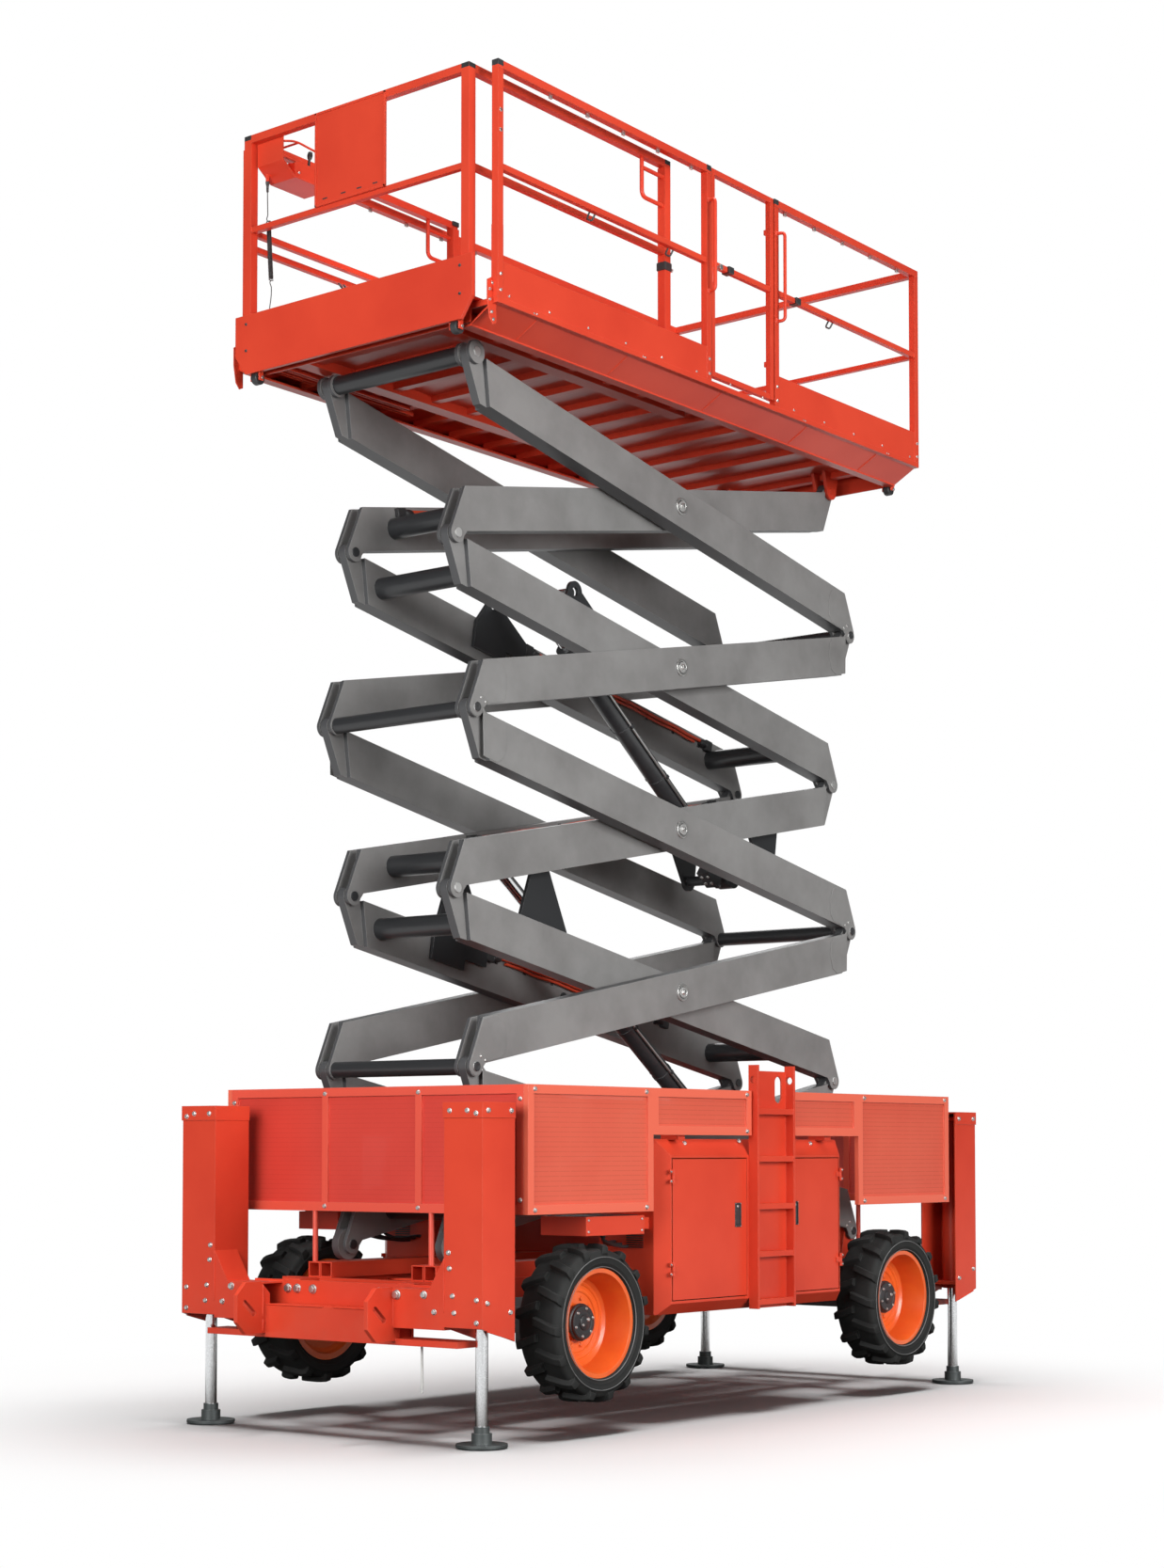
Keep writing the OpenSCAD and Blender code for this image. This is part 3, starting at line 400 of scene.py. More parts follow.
def makeCords():
    c = controlLead
    route = (smoothRoute(c["fromBox"] + c["coiled"][:1], 3) + windCoil(c["coiled"], c)
             + smoothRoute(c["coiled"][-1:] + c["toSocket"], 3))
    lead = cordCurve("curlyLead", route, c["wire"], hoseBlack)
    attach(lead, "extension")
    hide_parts("control_lead")
    routeLength(route)
    route = smoothRoute(earthStrap["route"], 4)
    strap = cordCurve("earthStrap", route, earthStrap["wire"], strapGrey)
    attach(strap, "chassis")
    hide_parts("earth_strap")
    routeLength(route)
    print("cords laid, curly lead", round(routeLength(smoothRoute(c["fromBox"], 3)), 2), "m before its coil")


makeCords()


# mesh helpers

def meshes(count): return [bmesh.new() for i in range(count)]


def facing(place, axis, turn=0.0):  # local Z laid along axis at place
    spin = Vector(axis).to_track_quat("Z", "Y").to_matrix().to_4x4()
    return Matrix.Translation(place) @ spin @ Matrix.Rotation(turn, 4, "Z")


def onSide(y, way):  # local X along the machine, local Y up, local Z outward from y
    return Matrix(((1, 0, 0, 0), (0, 0, way, y), (0, 1, 0, 0), (0, 0, 0, 1)))


def addTurned(bm, profile, steps, at):  # radius and height pairs turned about local Z
    turns = [2 * math.pi * i / steps for i in range(steps)]
    rings = []
    for r, h in profile:
        spots = [(r * math.cos(a), r * math.sin(a), h) for a in turns] if r else [(0, 0, h)]
        rings.append([bm.verts.new(at @ Vector(p)) for p in spots])
    for a, b in zip(rings, rings[1:]):
        for i in range(steps):
            j = (i + 1) % steps
            quad = [a[i % len(a)], a[j % len(a)], b[j % len(b)], b[i % len(b)]]
            quad = list(dict.fromkeys(quad))
            if len(quad) > 2:
                bm.faces.new(quad)


def addPlate(bm, outline, thick, at, chamfer):  # a flat outline given a thickness and broken edges
    low = [bm.verts.new(at @ Vector((u, v, 0))) for u, v in outline]
    grown = bmesh.ops.extrude_face_region(bm, geom=[bm.faces.new(low)])
    lift = (at.to_3x3() @ Vector((0, 0, 1))).normalized() * thick
    top = [v for v in grown["geom"] if isinstance(v, bmesh.types.BMVert)]
    bmesh.ops.translate(bm, verts=top, vec=lift)
    rim = {e for v in low + top for e in v.link_edges}
    bmesh.ops.bevel(bm, geom=list(rim), offset=chamfer, segments=1, affect="EDGES", clamp_overlap=True)


def addBlock(bm, lo, hi, chamfer, at=Matrix()):
    outline = [(lo[0], lo[1]), (hi[0], lo[1]), (hi[0], hi[1]), (lo[0], hi[1])]
    addPlate(bm, outline, hi[2] - lo[2], at @ Matrix.Translation((0, 0, lo[2])), chamfer)


def addTube(bm, points, radius, sides=10):  # a round bar along a route
    points = [Vector(p) for p in points]
    ahead = (points[1] - points[0]).normalized()
    side = ahead.orthogonal().normalized()
    rings = []
    for i, p in enumerate(points):
        way = (points[min(i + 1, len(points) - 1)] - points[max(i - 1, 0)]).normalized()
        side = (side - way * side.dot(way)).normalized()
        other = way.cross(side)
        rings.append([bm.verts.new(p + radius * (math.cos(2 * math.pi * j / sides) * side
                                                 + math.sin(2 * math.pi * j / sides) * other))
                      for j in range(sides)])
    for a, b in zip(rings, rings[1:]):
        for j in range(sides):
            k = (j + 1) % sides
            bm.faces.new((a[j], a[k], b[k], b[j]))
    bm.faces.new(rings[0][::-1])
    bm.faces.new(rings[-1])


def addBolt(bm, place, axis, s, turn=.3):  # washer and chamfered hex head, standing on place
    at = facing(place, axis, turn)
    washer = [(0, -.0005), (s * 1.15, -.0005), (s * 1.15, s * .18), (s * .95, s * .24), (0, s * .24)]
    head = [(0, s * .2), (s * .98, s * .22), (s * .98, s * .72), (s * .82, s * .86), (0, s * .9)]
    addTurned(bm, washer, 14, at)
    addTurned(bm, head, 6, at)


def addBoltRing(bm, at, axis, ring):  # bolts spread round local Z
    for i in range(ring["count"]):
        a = 2 * math.pi * i / ring["count"] + ring["first"]
        spot = at @ Vector((ring["r"] * math.cos(a), ring["r"] * math.sin(a), ring["h"]))
        addBolt(bm, spot, axis, ring["size"], ring["twist"] * i)


def addWeld(bm, a, b, radius):  # a rippled bead along a seam
    a, b = Vector(a), Vector(b)
    n = max(6, int((b - a).length / (radius * 1.6)))
    points = [a + (b - a) * (i / n) for i in range(n + 1)]
    ahead = (b - a).normalized()
    side = ahead.orthogonal().normalized()
    other = ahead.cross(side)
    rings = []
    for i, p in enumerate(points):
        r = radius * (.55 if i in (0, n) else 1 + .12 * (-1) ** i)
        spokes = [math.cos(math.pi * j / 3) * side + math.sin(math.pi * j / 3) * other for j in range(6)]
        rings.append([bm.verts.new(p + r * q) for q in spokes])
    for p, q in zip(rings, rings[1:]):
        for j in range(6):
            bm.faces.new((p[j], p[(j + 1) % 6], q[(j + 1) % 6], q[j]))


def roundedLoop(bends, radius, steps=5):  # a polyline with its corners rounded
    p = [Vector(c) for c in bends]
    out = [p[0]]
    for a, b, c in zip(p, p[1:], p[2:]):
        r = min(radius, (b - a).length * .49, (c - b).length * .49)
        s, e = b + (a - b).normalized() * r, b + (c - b).normalized() * r
        for i in range(steps + 1):
            t = i / steps
            out.append((1 - t) ** 2 * s + 2 * t * (1 - t) * b + t * t * e)
    return out + [p[-1]]


def finishPiece(name, bm, body, finish, angle=35):
    bmesh.ops.recalc_face_normals(bm, faces=bm.faces)
    mesh = bpy.data.meshes.new(name)
    bm.to_mesh(mesh)
    bm.free()
    mesh.shade_smooth()
    mesh.set_sharp_from_angle(angle=math.radians(angle))
    mesh.materials.append(finish.material)
    piece = bpy.data.objects.new(name, mesh)
    scene.collection.objects.link(piece)
    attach(piece, body)
    return piece


# wheels

wheel = dict(x=1.437, y=.928, z=.554, tread=.394, carcass=.368, half=.132, rim=.272, steps=120)
lug = dict(count=15, start=.003, wide=.043, skew=.048, inner=.006, reach=.134, tuck=.004, lip=.005,
           proud=.0035, taper=.01)
hub = dict(face=.906, profile=[(.094, -.002), (.094, .01), (.09, .014), (.086, .015), (.086, .026),
                               (.081, .031), (.06, .032), (.058, .03), (.04, .03), (.038, .036),
                               (.032, .039), (0, .039)],
           screws=dict(count=6, first=.3, r=.07, h=.0315, size=.007, twist=.5),
           plugs=[((.021, .014, .0385), .009), ((-.018, -.012, .0385), .006)],
           nuts=dict(count=10, first=0, r=.122, h=-.0245, size=.0125, twist=.4),
           ledges=((.196, -.0215), (.16, -.023)))
highlitSideRings = ((.2795, .1214), (.3285, .1316))
corners = [(1, 1), (1, -1), (-1, 1), (-1, -1)]  # end and side


def addCarcass(bm, w, at):
    rim, c, h = w["rim"], w["carcass"], w["half"]
    side = [(rim + .001, h - .026), (rim + .012, h - .013), (rim + .02, h - .011), (rim + .026, h - .006),
            (rim + .03, h - .007), (rim + .048, h - .001), (rim + .054, h), (rim + .06, h),
            (rim + .064, h - .004), (c - .022, h - .01), (c - .012, h - .014), (c - .004, h - .024),
            (c, h - .04), (c + .001, 0)]
    profile = [(r, -y) for r, y in side] + [(r, y) for r, y in side[-2::-1]]
    addTurned(bm, profile, w["steps"], at @ Matrix.Rotation(-math.pi / 2, 4, "X"))


def addLug(bm, w, at, s, turn):  # one chevron bar: across the tread, over the shoulder, down the side
    rim, c, top = w["rim"], w["carcass"], w["tread"]
    stations = [(-.006, c - .012, top - .001), (.03, c - .012, top), (.07, c - .012, top),
                (.104, c - .012, top - .003), (.124, c - .02, top - .012), (.1285, c - .03, c - .004),
                (.129, rim + .072, rim + .074)]
    rows = []
    for n, (y, root, high) in enumerate(stations):
        left = lug["start"] - lug["skew"] * min(1, (y + lug["inner"]) / lug["reach"])
        right = left + lug["wide"]
        if n == len(stations) - 1:
            left, right = left + lug["taper"], right - lug["taper"]
        edge = min(lug["lip"], (high - root) * .4)
        out = y + (lug["proud"] if n > 3 else 0)
        row = []
        for across, r, wide in ((left - lug["tuck"], root, y), (left + .001, high - edge, out),
                                (left + lug["lip"], high, out), (right - lug["lip"], high, out),
                                (right - .001, high - edge, out), (right + lug["tuck"], root, y)):
            spin = turn - across / r
            row.append(bm.verts.new(at @ Vector((r * math.cos(spin), s * wide, -r * math.sin(spin)))))
        rows.append(row)
    for a, b in zip(rows, rows[1:]):
        for j in range(5):
            bm.faces.new((a[j], a[j + 1], b[j + 1], b[j]))
    bm.faces.new(rows[0])
    bm.faces.new(rows[-1])


def addTyre(bm, w, at):
    addCarcass(bm, w, at)
    for s in (1, -1):
        for i in range(lug["count"]):
            addLug(bm, w, at, s, 2 * math.pi * (i + (0 if s > 0 else .5)) / lug["count"])


def makeWheels():
    w = wheel
    for n, (sx, sy) in enumerate(corners, 1):
        body, side = f"wheel_{n}", (0, sy, 0)
        middle = Matrix.Translation((sx * w["x"], sy * w["y"], w["z"]))
        bm = bmesh.new()
        addTyre(bm, w, middle @ Matrix.Diagonal((1, sy, 1, 1)))
        tyre = finishPiece(f"luggedTyre{n}", bm, body, rubber, 40)
        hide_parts(f"tyre_{n}")
        out = facing((sx * w["x"], sy * hub["face"], w["z"]), side)
        cap, screws, nuts, rings = meshes(4)
        addTurned(cap, hub["profile"], 48, out)
        finishPiece(f"hubCap{n}", cap, body, darkIron)
        addBoltRing(screws, out, side, hub["screws"])
        for spot, size in hub["plugs"]:
            addBolt(screws, out @ Vector(spot), side, size)
        finishPiece(f"capScrews{n}", screws, body, zinc)
        addBoltRing(nuts, out, side, hub["nuts"])
        for r, h in hub["ledges"]:
            ledge = [(r - .011, h), (r - .006, h + .006), (r + .004, h + .006), (r + .01, h - .002)]
            addTurned(nuts, ledge, 60, out)
        finishPiece(f"wheelNuts{n}", nuts, body, rimOrange)
        for r, h in highlitSideRings:  # raised rings moulded on the side, coloured pale grey as a painted highlight
            ring = [(r - .0022, h - .001), (r - .001, h + .0016), (r + .001, h + .0016),
                    (r + .0022, h - .001)]
            addTurned(rings, ring, 96, facing((sx * w["x"], sy * w["y"], w["z"]), side))
        finishPiece(f"highlitSideRings{n}", rings, body, ringHighlightGrey)
    print("wheels dressed")


makeWheels()


# scissor arms

stack = dict(rearX=-1.7, frontX=1.79502, lowPin=.925, rise=.903872, lean=10.6881, run=3.602, pitch=.24)


def armFrame(kind, level):  # arm's own frame: along the pins, across, up
    toFront = (level % 2 == 1) == (kind == "outer")
    x = stack["rearX"] if toFront else stack["frontX"]
    turn = Matrix.Rotation(-math.radians(stack["lean"]), 4, "Y")
    flip = Matrix() if toFront else Matrix.Diagonal((-1, 1, 1, 1))
    return Matrix.Translation((x, 0, stack["lowPin"] + (level - 1) * stack["rise"])) @ flip @ turn


armPlate = dict(
    face=.53, thick=.003, clear=.045,
    low=[(-.036, .034), (.098, .228), (.205, .23), (.25, .196), (.262, .12), (.24, .04), (.205, .012),
         (.082, .01), (.046, -.016), (.02, -.044), (-.02, -.044), (-.044, -.02)])
armPin = dict(middle=.1205, ring=(.0335, .0475), faceRing=.5362, faceBolt=.544, faceEnd=.538,
              end=[(.0245, -.001), (.0245, .002), (.022, .0045), (.012, .0045), (.01, .0025), (0, .0025)],
              keeper=((.045, .045), (.075, .02)), faceKeeper=.5328)


def addArmPins(pins, caps, at, s):  # ring, cap and bolt on the middle pin, cap and keeper on the low one
    side, half, p = Vector((0, s, 0)), stack["run"] / 2, armPin
    spot = facing(at @ Vector((half, s * p["faceRing"], p["middle"])), side)
    low, high = p["ring"]
    ring = [(low, -.001), (low, .004), (low + .002, .0055), (high - .002, .0055), (high, .004),
            (high, -.001)]
    addTurned(pins, ring, 36, spot)
    addTurned(caps, [(0, .0018), (low, .0018), (low, -.001)], 36, spot)
    addBolt(pins, at @ Vector((half, s * p["faceBolt"], p["middle"])), side, .015)
    addTurned(caps, p["end"], 28, facing(at @ Vector((0, s * p["faceEnd"], 0)), side))
    for u, v in p["keeper"]:
        addBolt(pins, at @ Vector((u, s * p["faceKeeper"], v)), side, .007)


def makeOuterDress():
    run, pitch, low = stack["run"], stack["pitch"], armPlate["low"]
    for k in range(1, 6):
        at = armFrame("outer", k)
        plates, pins, caps = meshes(3)
        outlines = [low]
        if k < 5:  # the upper plate stops short of the pin
            turned = [(run - u, pitch - v) for u, v in low]
            outlines.append([q for q in turned if q[0] < run - armPlate["clear"]])
        for s in (1, -1):
            for outline in outlines:
                addPlate(plates, outline, armPlate["thick"], at @ onSide(s * armPlate["face"], s), .0012)
            addArmPins(pins, caps, at, s)
        finishPiece(f"armPlates{k}", plates, f"outer_arm_{k}", plateGrey, 30)
        finishPiece(f"armPins{k}", pins, f"outer_arm_{k}", zinc)
        finishPiece(f"armCaps{k}", caps, f"outer_arm_{k}", darkIron)
    print("outer arms dressed")


makeOuterDress()

conduit = dict(y=.291, v=.206, r=.0105, steps=24, clip=4, lower=.024, block=(.277, .306),
               boot=[(0, 0), (.017, 0), (.024, .016), (.026, .05), (.022, .06), (0, .06)],
               spans={1: (.46, 2.76), 2: (.92, 2.42), 3: (1.06, 3.22), 4: (.46, 2.08), 5: (.46, 3.22)})


def addConduits(tubes, ends, at, s, start, stop):  # two hoses along an arm, their clips and end boots
    c = conduit
    y, v, n = c["y"], c["v"], c["steps"]
    along = [start + (stop - start) * i / n for i in range(n + 1)]
    route = [at @ Vector((u, s * (y - .002 * math.sin(i * 1.9)), v - .003 * math.sin(i * 1.1)))
             for i, u in enumerate(along)]
    below = at.to_3x3() @ Vector((0, 0, -c["lower"]))
    addTube(tubes, route, c["r"])
    addTube(tubes, [q + below for q in route[1:-1]], c["r"] * .8)
    for u in along[::c["clip"]]:
        addBlock(ends, (u - .012, s * (y + .013) - .012, v - .04),
                 (u + .012, s * (y + .013) + .003, v + .014), .002, at)
    for u, way in ((start, -1), (stop, 1)):
        addTurned(ends, c["boot"], 14, at @ facing((u - way * .01, s * y, v - .01), (way, 0, 0)))
        u0, u1 = sorted((u + way * .045, u + way * .11))
        y0, y1 = sorted(s * q for q in c["block"])
        addBlock(ends, (u0, y0, v - .045), (u1, y1, v + .022), .004, at)


def makeInnerDress():
    for k, span in conduit["spans"].items():
        tubes, ends = meshes(2)
        for s in (1, -1):
            addConduits(tubes, ends, armFrame("inner", k), s, *span)
        finishPiece(f"armConduits{k}", tubes, f"inner_arm_{k}", conduitRed, 50)
        finishPiece(f"conduitEnds{k}", ends, f"inner_arm_{k}", hoseBlack, 40)
    print("inner arms dressed")


makeInnerDress()

cylinders = [dict(body="lower_barrel", base=(-1.19963, 1.34781), angle=35.73, length=2.38),
             dict(body="upper_barrel", base=(-1.1505, 3.0436), angle=36.95, length=1.95)]
barrel = dict(
    pipe=.0075, pipeY=.069, clampFirst=.45, clampStep=.42,
    union=[(0, -.002), (.016, -.002), (.016, .012), (.012, .016), (0, .016)],
    headUnion=[(0, -.004), (.013, -.004), (.013, .01), (.01, .013), (0, .013)],
    port=[(0, 0), (.013, 0), (.013, .01), (.01, .014), (.01, .022), (0, .024)],
    cartridge=[(0, 0), (.011, 0), (.011, .018), (.008, .021), (0, .021)],
    valve=[(0, 0), (.019, 0), (.021, .01), (.021, .04), (.017, .046), (0, .046)])


def makeCylinderDress():
    b, py = barrel, barrel["pipeY"]
    for c in cylinders:
        at = Matrix.Translation((c["base"][0], 0, c["base"][1]))
        at = at @ Matrix.Rotation(-math.radians(c["angle"]), 4, "Y")
        pipes, black = meshes(2)
        far = c["length"] - .05
        for s in (1, -1):  # a hard pipe each side from the valve block to the head
            bends = [(.18, s * .03, -.085), (.18, s * .066, -.06), (.25, s * py, -.01),
                     (far - .04, s * py, 0), (far, s * py, 0), (far + .012, s * .058, 0)]
            addTube(pipes, [at @ p for p in roundedLoop(bends, .03)], b["pipe"])
            addTurned(pipes, b["union"], 6, at @ facing((.18, s * .032, -.085), (0, s, 0)))
            addTurned(pipes, b["headUnion"], 6, at @ facing((far + .01, s * .056, 0), (0, s, 0)))
        x = b["clampFirst"]
        while x < far - .1:  # clamps round the barrel
            clamp = [(.0565, x), (.0605, x + .002), (.0605, x + .024), (.0565, x + .026)]
            addTurned(black, clamp, 36, at @ Matrix.Rotation(math.pi / 2, 4, "Y"))
            for s in (1, -1):
                addBlock(black, (x + .002, s * py - .012, -.012), (x + .024, s * py + .012, .012), .003, at)
            x += b["clampStep"]
        for y in (-.022, .022):  # ports and valve cartridges under the block
            addTurned(pipes, b["port"], 12, at @ facing((.125, y, -.13), (0, 0, -1)))
            addTurned(pipes, b["cartridge"], 6, at @ facing((.178, y, -.13), (0, 0, -1)))
        addTurned(black, b["valve"], 20, at @ facing((.086, 0, -.098), (-1, 0, 0)))
        finishPiece(c["body"] + "Pipes", pipes, c["body"], zinc)
        finishPiece(c["body"] + "Clamps", black, c["body"], darkIron)
    print("cylinders dressed")


makeCylinderDress()


# chassis

columnBolts = dict(
    front=2.32, band=2.325, side=1.02, bandSide=1.025, size=.0115,
    faceRows=[(.82, 1.6, 1), (.93, 1.6, 1), (.985, 1.586, 1), (.81, .925, 0), (.815, .85, 0),
              (.835, .72, 0), (.985, .705, 0), (.985, .598, 0), (.845, .64, 0)],
    sideRows=[(2.115, 1.6, 1), (2.285, 1.6, 1), (2.115, .64, 0), (2.285, .69, 0)])
beamBolts = dict(face=2.169, rows=[(.4, .712), (.335, .712), (.225, .712)], size=.021,
                 plate=[(.48, .715, .021), (.655, .72, .017), (.72, .64, .013)])
screenBolts = dict(
    size=.0105, endX=1.99, ends=[(.978, 1.66), (.978, 1.17), (.32, 1.7), (.32, 1.125)],
    sideY=1.028, sides=[(1.04, 1.708), (1.94, 1.708), (1.04, 1.122), (1.94, 1.122)],
    middle=[(.14, 1.708), (.14, 1.512)])


def makeChassisBolts():
    bm = bmesh.new()
    for end, s in corners:
        ahead, aside = (end, 0, 0), (0, s, 0)
        for y, z, onBand in columnBolts["faceRows"]:
            x = columnBolts["band" if onBand else "front"]
            addBolt(bm, (end * x, s * y, z), ahead, columnBolts["size"], z)
        for x, z, onBand in columnBolts["sideRows"]:
            y = columnBolts["bandSide" if onBand else "side"]
            addBolt(bm, (end * x, s * y, z), aside, columnBolts["size"], z)
        for y, z in beamBolts["rows"]:
            addBolt(bm, (end * beamBolts["face"], s * y, z), ahead, beamBolts["size"], y)
        for y, z, size in beamBolts["plate"]:
            addBolt(bm, (end * columnBolts["front"], s * y, z), ahead, size)
        for y, z in screenBolts["ends"]:
            addBolt(bm, (end * screenBolts["endX"], s * y, z), ahead, screenBolts["size"], y)
        for x, z in screenBolts["sides"] + (screenBolts["middle"] if end > 0 else []):
            addBolt(bm, (end * x, s * screenBolts["sideY"], z), aside, screenBolts["size"], x)
    finishPiece("frameBolts", bm, "chassis", zinc)


frameSeams = [((2.321, .4285, .5), (2.321, .4285, .56), .005),
              ((2.321, .4285, .575), (2.321, .4285, .735), .005),
              ((2.321, .4555, .56), (2.321, .4555, .738), .005),
              ((2.3205, .78, .64), (2.3205, .78, .895), .004),
              ((2.3, .42, .6355), (2.3, .03, .6355), .005),
              ((2.1, 1.0205, .5085), (2.29, 1.0205, .558), .003)]


def makeWelds():  # seams of the outrigger frames
    bm = bmesh.new()
    for end, s in corners:
        for a, b, radius in frameSeams:
            addWeld(bm, (end * a[0], s * a[1], a[2]), (end * b[0], s * b[1], b[2]), radius)
    finishPiece("frameWelds", bm, "chassis", red, 60)


boxDress = dict(
    hingeX=(.784, -.814), hingeY=1.0095, hingeZ=(.795, 1.275), leaf=.018, apart=.025,
    top=((.6, 1.4475), (-.6, 1.4475), (.1, 1.4595)), topY=.9475, slope=(.78, .62),
    plugs=(-.55, .1, .45), plugAt=(.78, .56),
    plug=[(0, -.002), (.024, -.002), (.024, .006), (.02, .009), (0, .009)])
grille = dict(x=(.8505, .8535), y=.81, half=.055, z=.905, step=.012, bar=.006, count=9)
valveBox = dict(
    x=(1.03, 1.47), y=.845, half=.12, lid=(1.0795, 1.0835), face=.99, screwZ=(1.005, 1.062),
    hoses=(.76, .8, .84), hose=.0085, hoseX=1.06, hoseZ=.935,
    gland=[(0, 0), (.014, 0), (.014, .018), (.01, .024), (0, .024)])


def addHoses(bm, s):  # from the valve box down and back into the side box
    v = valveBox
    for j, y in enumerate(v["hoses"]):
        x, z = v["hoseX"] + j * .05, v["hoseZ"] - j * .012
        hose = [(x, s * y, .988), (x, s * y, .955), (1 + j * .02, s * (y - .03), .925),
                (.9, s * (y - .07), z), (.848, s * (y - .08), z)]
        addTube(bm, roundedLoop(hose, .03), v["hose"])
        addTurned(bm, v["gland"], 12, facing((x, s * y, .987), (0, 0, -1)))


def makeSideBoxDress():
    b, g, v = boxDress, grille, valveBox
    bolts, black = meshes(2)
    for s in (1, -1):
        for x in b["hingeX"]:  # screws of the hinges' fixed leaves
            out = x + math.copysign(b["leaf"], x)
            for z in b["hingeZ"]:
                for dz in (-b["apart"], b["apart"]):
                    addBolt(bolts, (out, s * b["hingeY"], z + dz), (0, s, 0), .0055, dz)
        for x, z in b["top"]:  # bolts on the sloping top
            addBolt(bolts, (x, s * b["topY"], z), (0, s * b["slope"][0], b["slope"][1]), .011)
        for x in b["plugs"]:  # drain plugs underneath
            addTurned(black, b["plug"], 24, facing((x, s * b["plugAt"][0], b["plugAt"][1]), (0, 0, -1)))
        for i in range(g["count"]):
            z = g["z"] + i * g["step"]
            addBlock(black, (g["x"][0], s * g["y"] - g["half"], z),
                     (g["x"][1], s * g["y"] + g["half"], z + g["bar"]), .0008)
        (x0, x1), (z0, z1) = v["x"], v["lid"]
        addBlock(black, (x0, s * v["y"] - v["half"], z0), (x1, s * v["y"] + v["half"], z1), .0015)
        addHoses(black, s)
        for x in v["x"]:
            for z in v["screwZ"]:
                addBolt(bolts, (x, s * v["face"], z), (0, s, 0), .006)
    finishPiece("boxScrews", bolts, "chassis", zinc)
    finishPiece("boxFittings", black, "chassis", hoseBlack)


latches = {"door_left_front": (.184, 1), "door_left_rear": (-.37, 1), "door_right_front": (.184, -1),
           "door_right_rear": (-.37, -1)}
latch = dict(
    y=.9925, z=1.065, half=(.029, .064), rim=.006,
    paddle=[(-.017, -.05), (.017, -.05), (.017, .02), (.012, .03), (-.012, .03), (-.017, .02)],
    lock=[(0, .002), (.0085, .002), (.0085, .0065), (.007, .008), (.003, .008), (0, .007)],
    screw=[(0, .008), (.0028, .008), (.0024, .0098), (0, .0102)])


def makeLatches():  # paddle latch in each door's pocket
    (u, v), t = latch["half"], latch["rim"]
    rims = [((-u, -v), (t - u, v)), ((u - t, -v), (u, v)), ((-u, -v), (u, t - v)), ((-u, v - t), (u, v))]
    for name, (x, s) in latches.items():
        bm, bolts = meshes(2)
        flat = Matrix.Translation((x, 0, latch["z"])) @ onSide(s * latch["y"], s)
        addPlate(bm, [(-u, -v), (u, -v), (u, v), (-u, v)], .003, flat, .001)
        for a, b in rims:
            addBlock(bm, (*a, .0025), (*b, .0085), .001, flat)
        addPlate(bm, latch["paddle"], .0035, flat @ Matrix.Translation((0, 0, .003)), .001)
        addTurned(bolts, latch["lock"], 20, flat @ Matrix.Translation((0, .045, 0)))
        for dv in (-.061, .061):
            for du in (-.024, .024):
                addTurned(bolts, latch["screw"], 10, flat @ Matrix.Translation((du, dv, 0)))
        finishPiece("latch_" + name, bm, name, darkIron)
        finishPiece("latchScrews_" + name, bolts, name, zinc)


makeChassisBolts()
makeWelds()
makeSideBoxDress()
makeLatches()
print("chassis dressed")


# platform

deckLevel = dict(floor=5.57436, lip=5.54536, low=5.46036, rail=6.75436, mid=6.24436)
underRails = dict(y=(.665, .6), front=2.078, back=(.96, 1.06), wide=.034, tall=.045, top=5.552, skin=.004)
deckRollers = dict(front=(2.105, .69, 5.452), rear=(-1.905, .69, 5.452), r=.034, half=.02)
deckEdge = dict(seams=(-1.45, -.7, .15, 1.0, 1.75), seamY=(.878, .75), rivets=(-1.52, -.62, .9, 1.8),
                face=.9152, clipFirst=-1.78, clipLast=2.0, clipStep=.315, clipY=.9112,
                rivet=[(0, -.001), (.005, -.001), (.005, .003), (0, .004)])
cornerPlate = dict(
    y=.8775, outline=[(2.06, 5.452), (2.086, 5.44), (2.112, 5.47), (2.128, 5.56), (2.128, 5.655),
                      (2.098, 5.672), (2.06, 5.64)],
    bolts=((2.085, 5.466), (2.098, 5.5), (2.11, 5.56), (2.11, 5.61), (2.09, 5.645)))


def addRoller(black, bolts, place, pin):  # turning on a pin across the machine
    r, half = deckRollers["r"], deckRollers["half"]
    across = facing(place, (0, 1, 0))
    addTurned(black, [(0, -half), (r - .003, -half), (r, .004 - half), (r, half - .004), (r - .003, half),
                      (0, half)], 28, across)
    addTurned(bolts, [(0, -pin), (.009, -pin), (.009, pin), (0, pin)], 12, across)


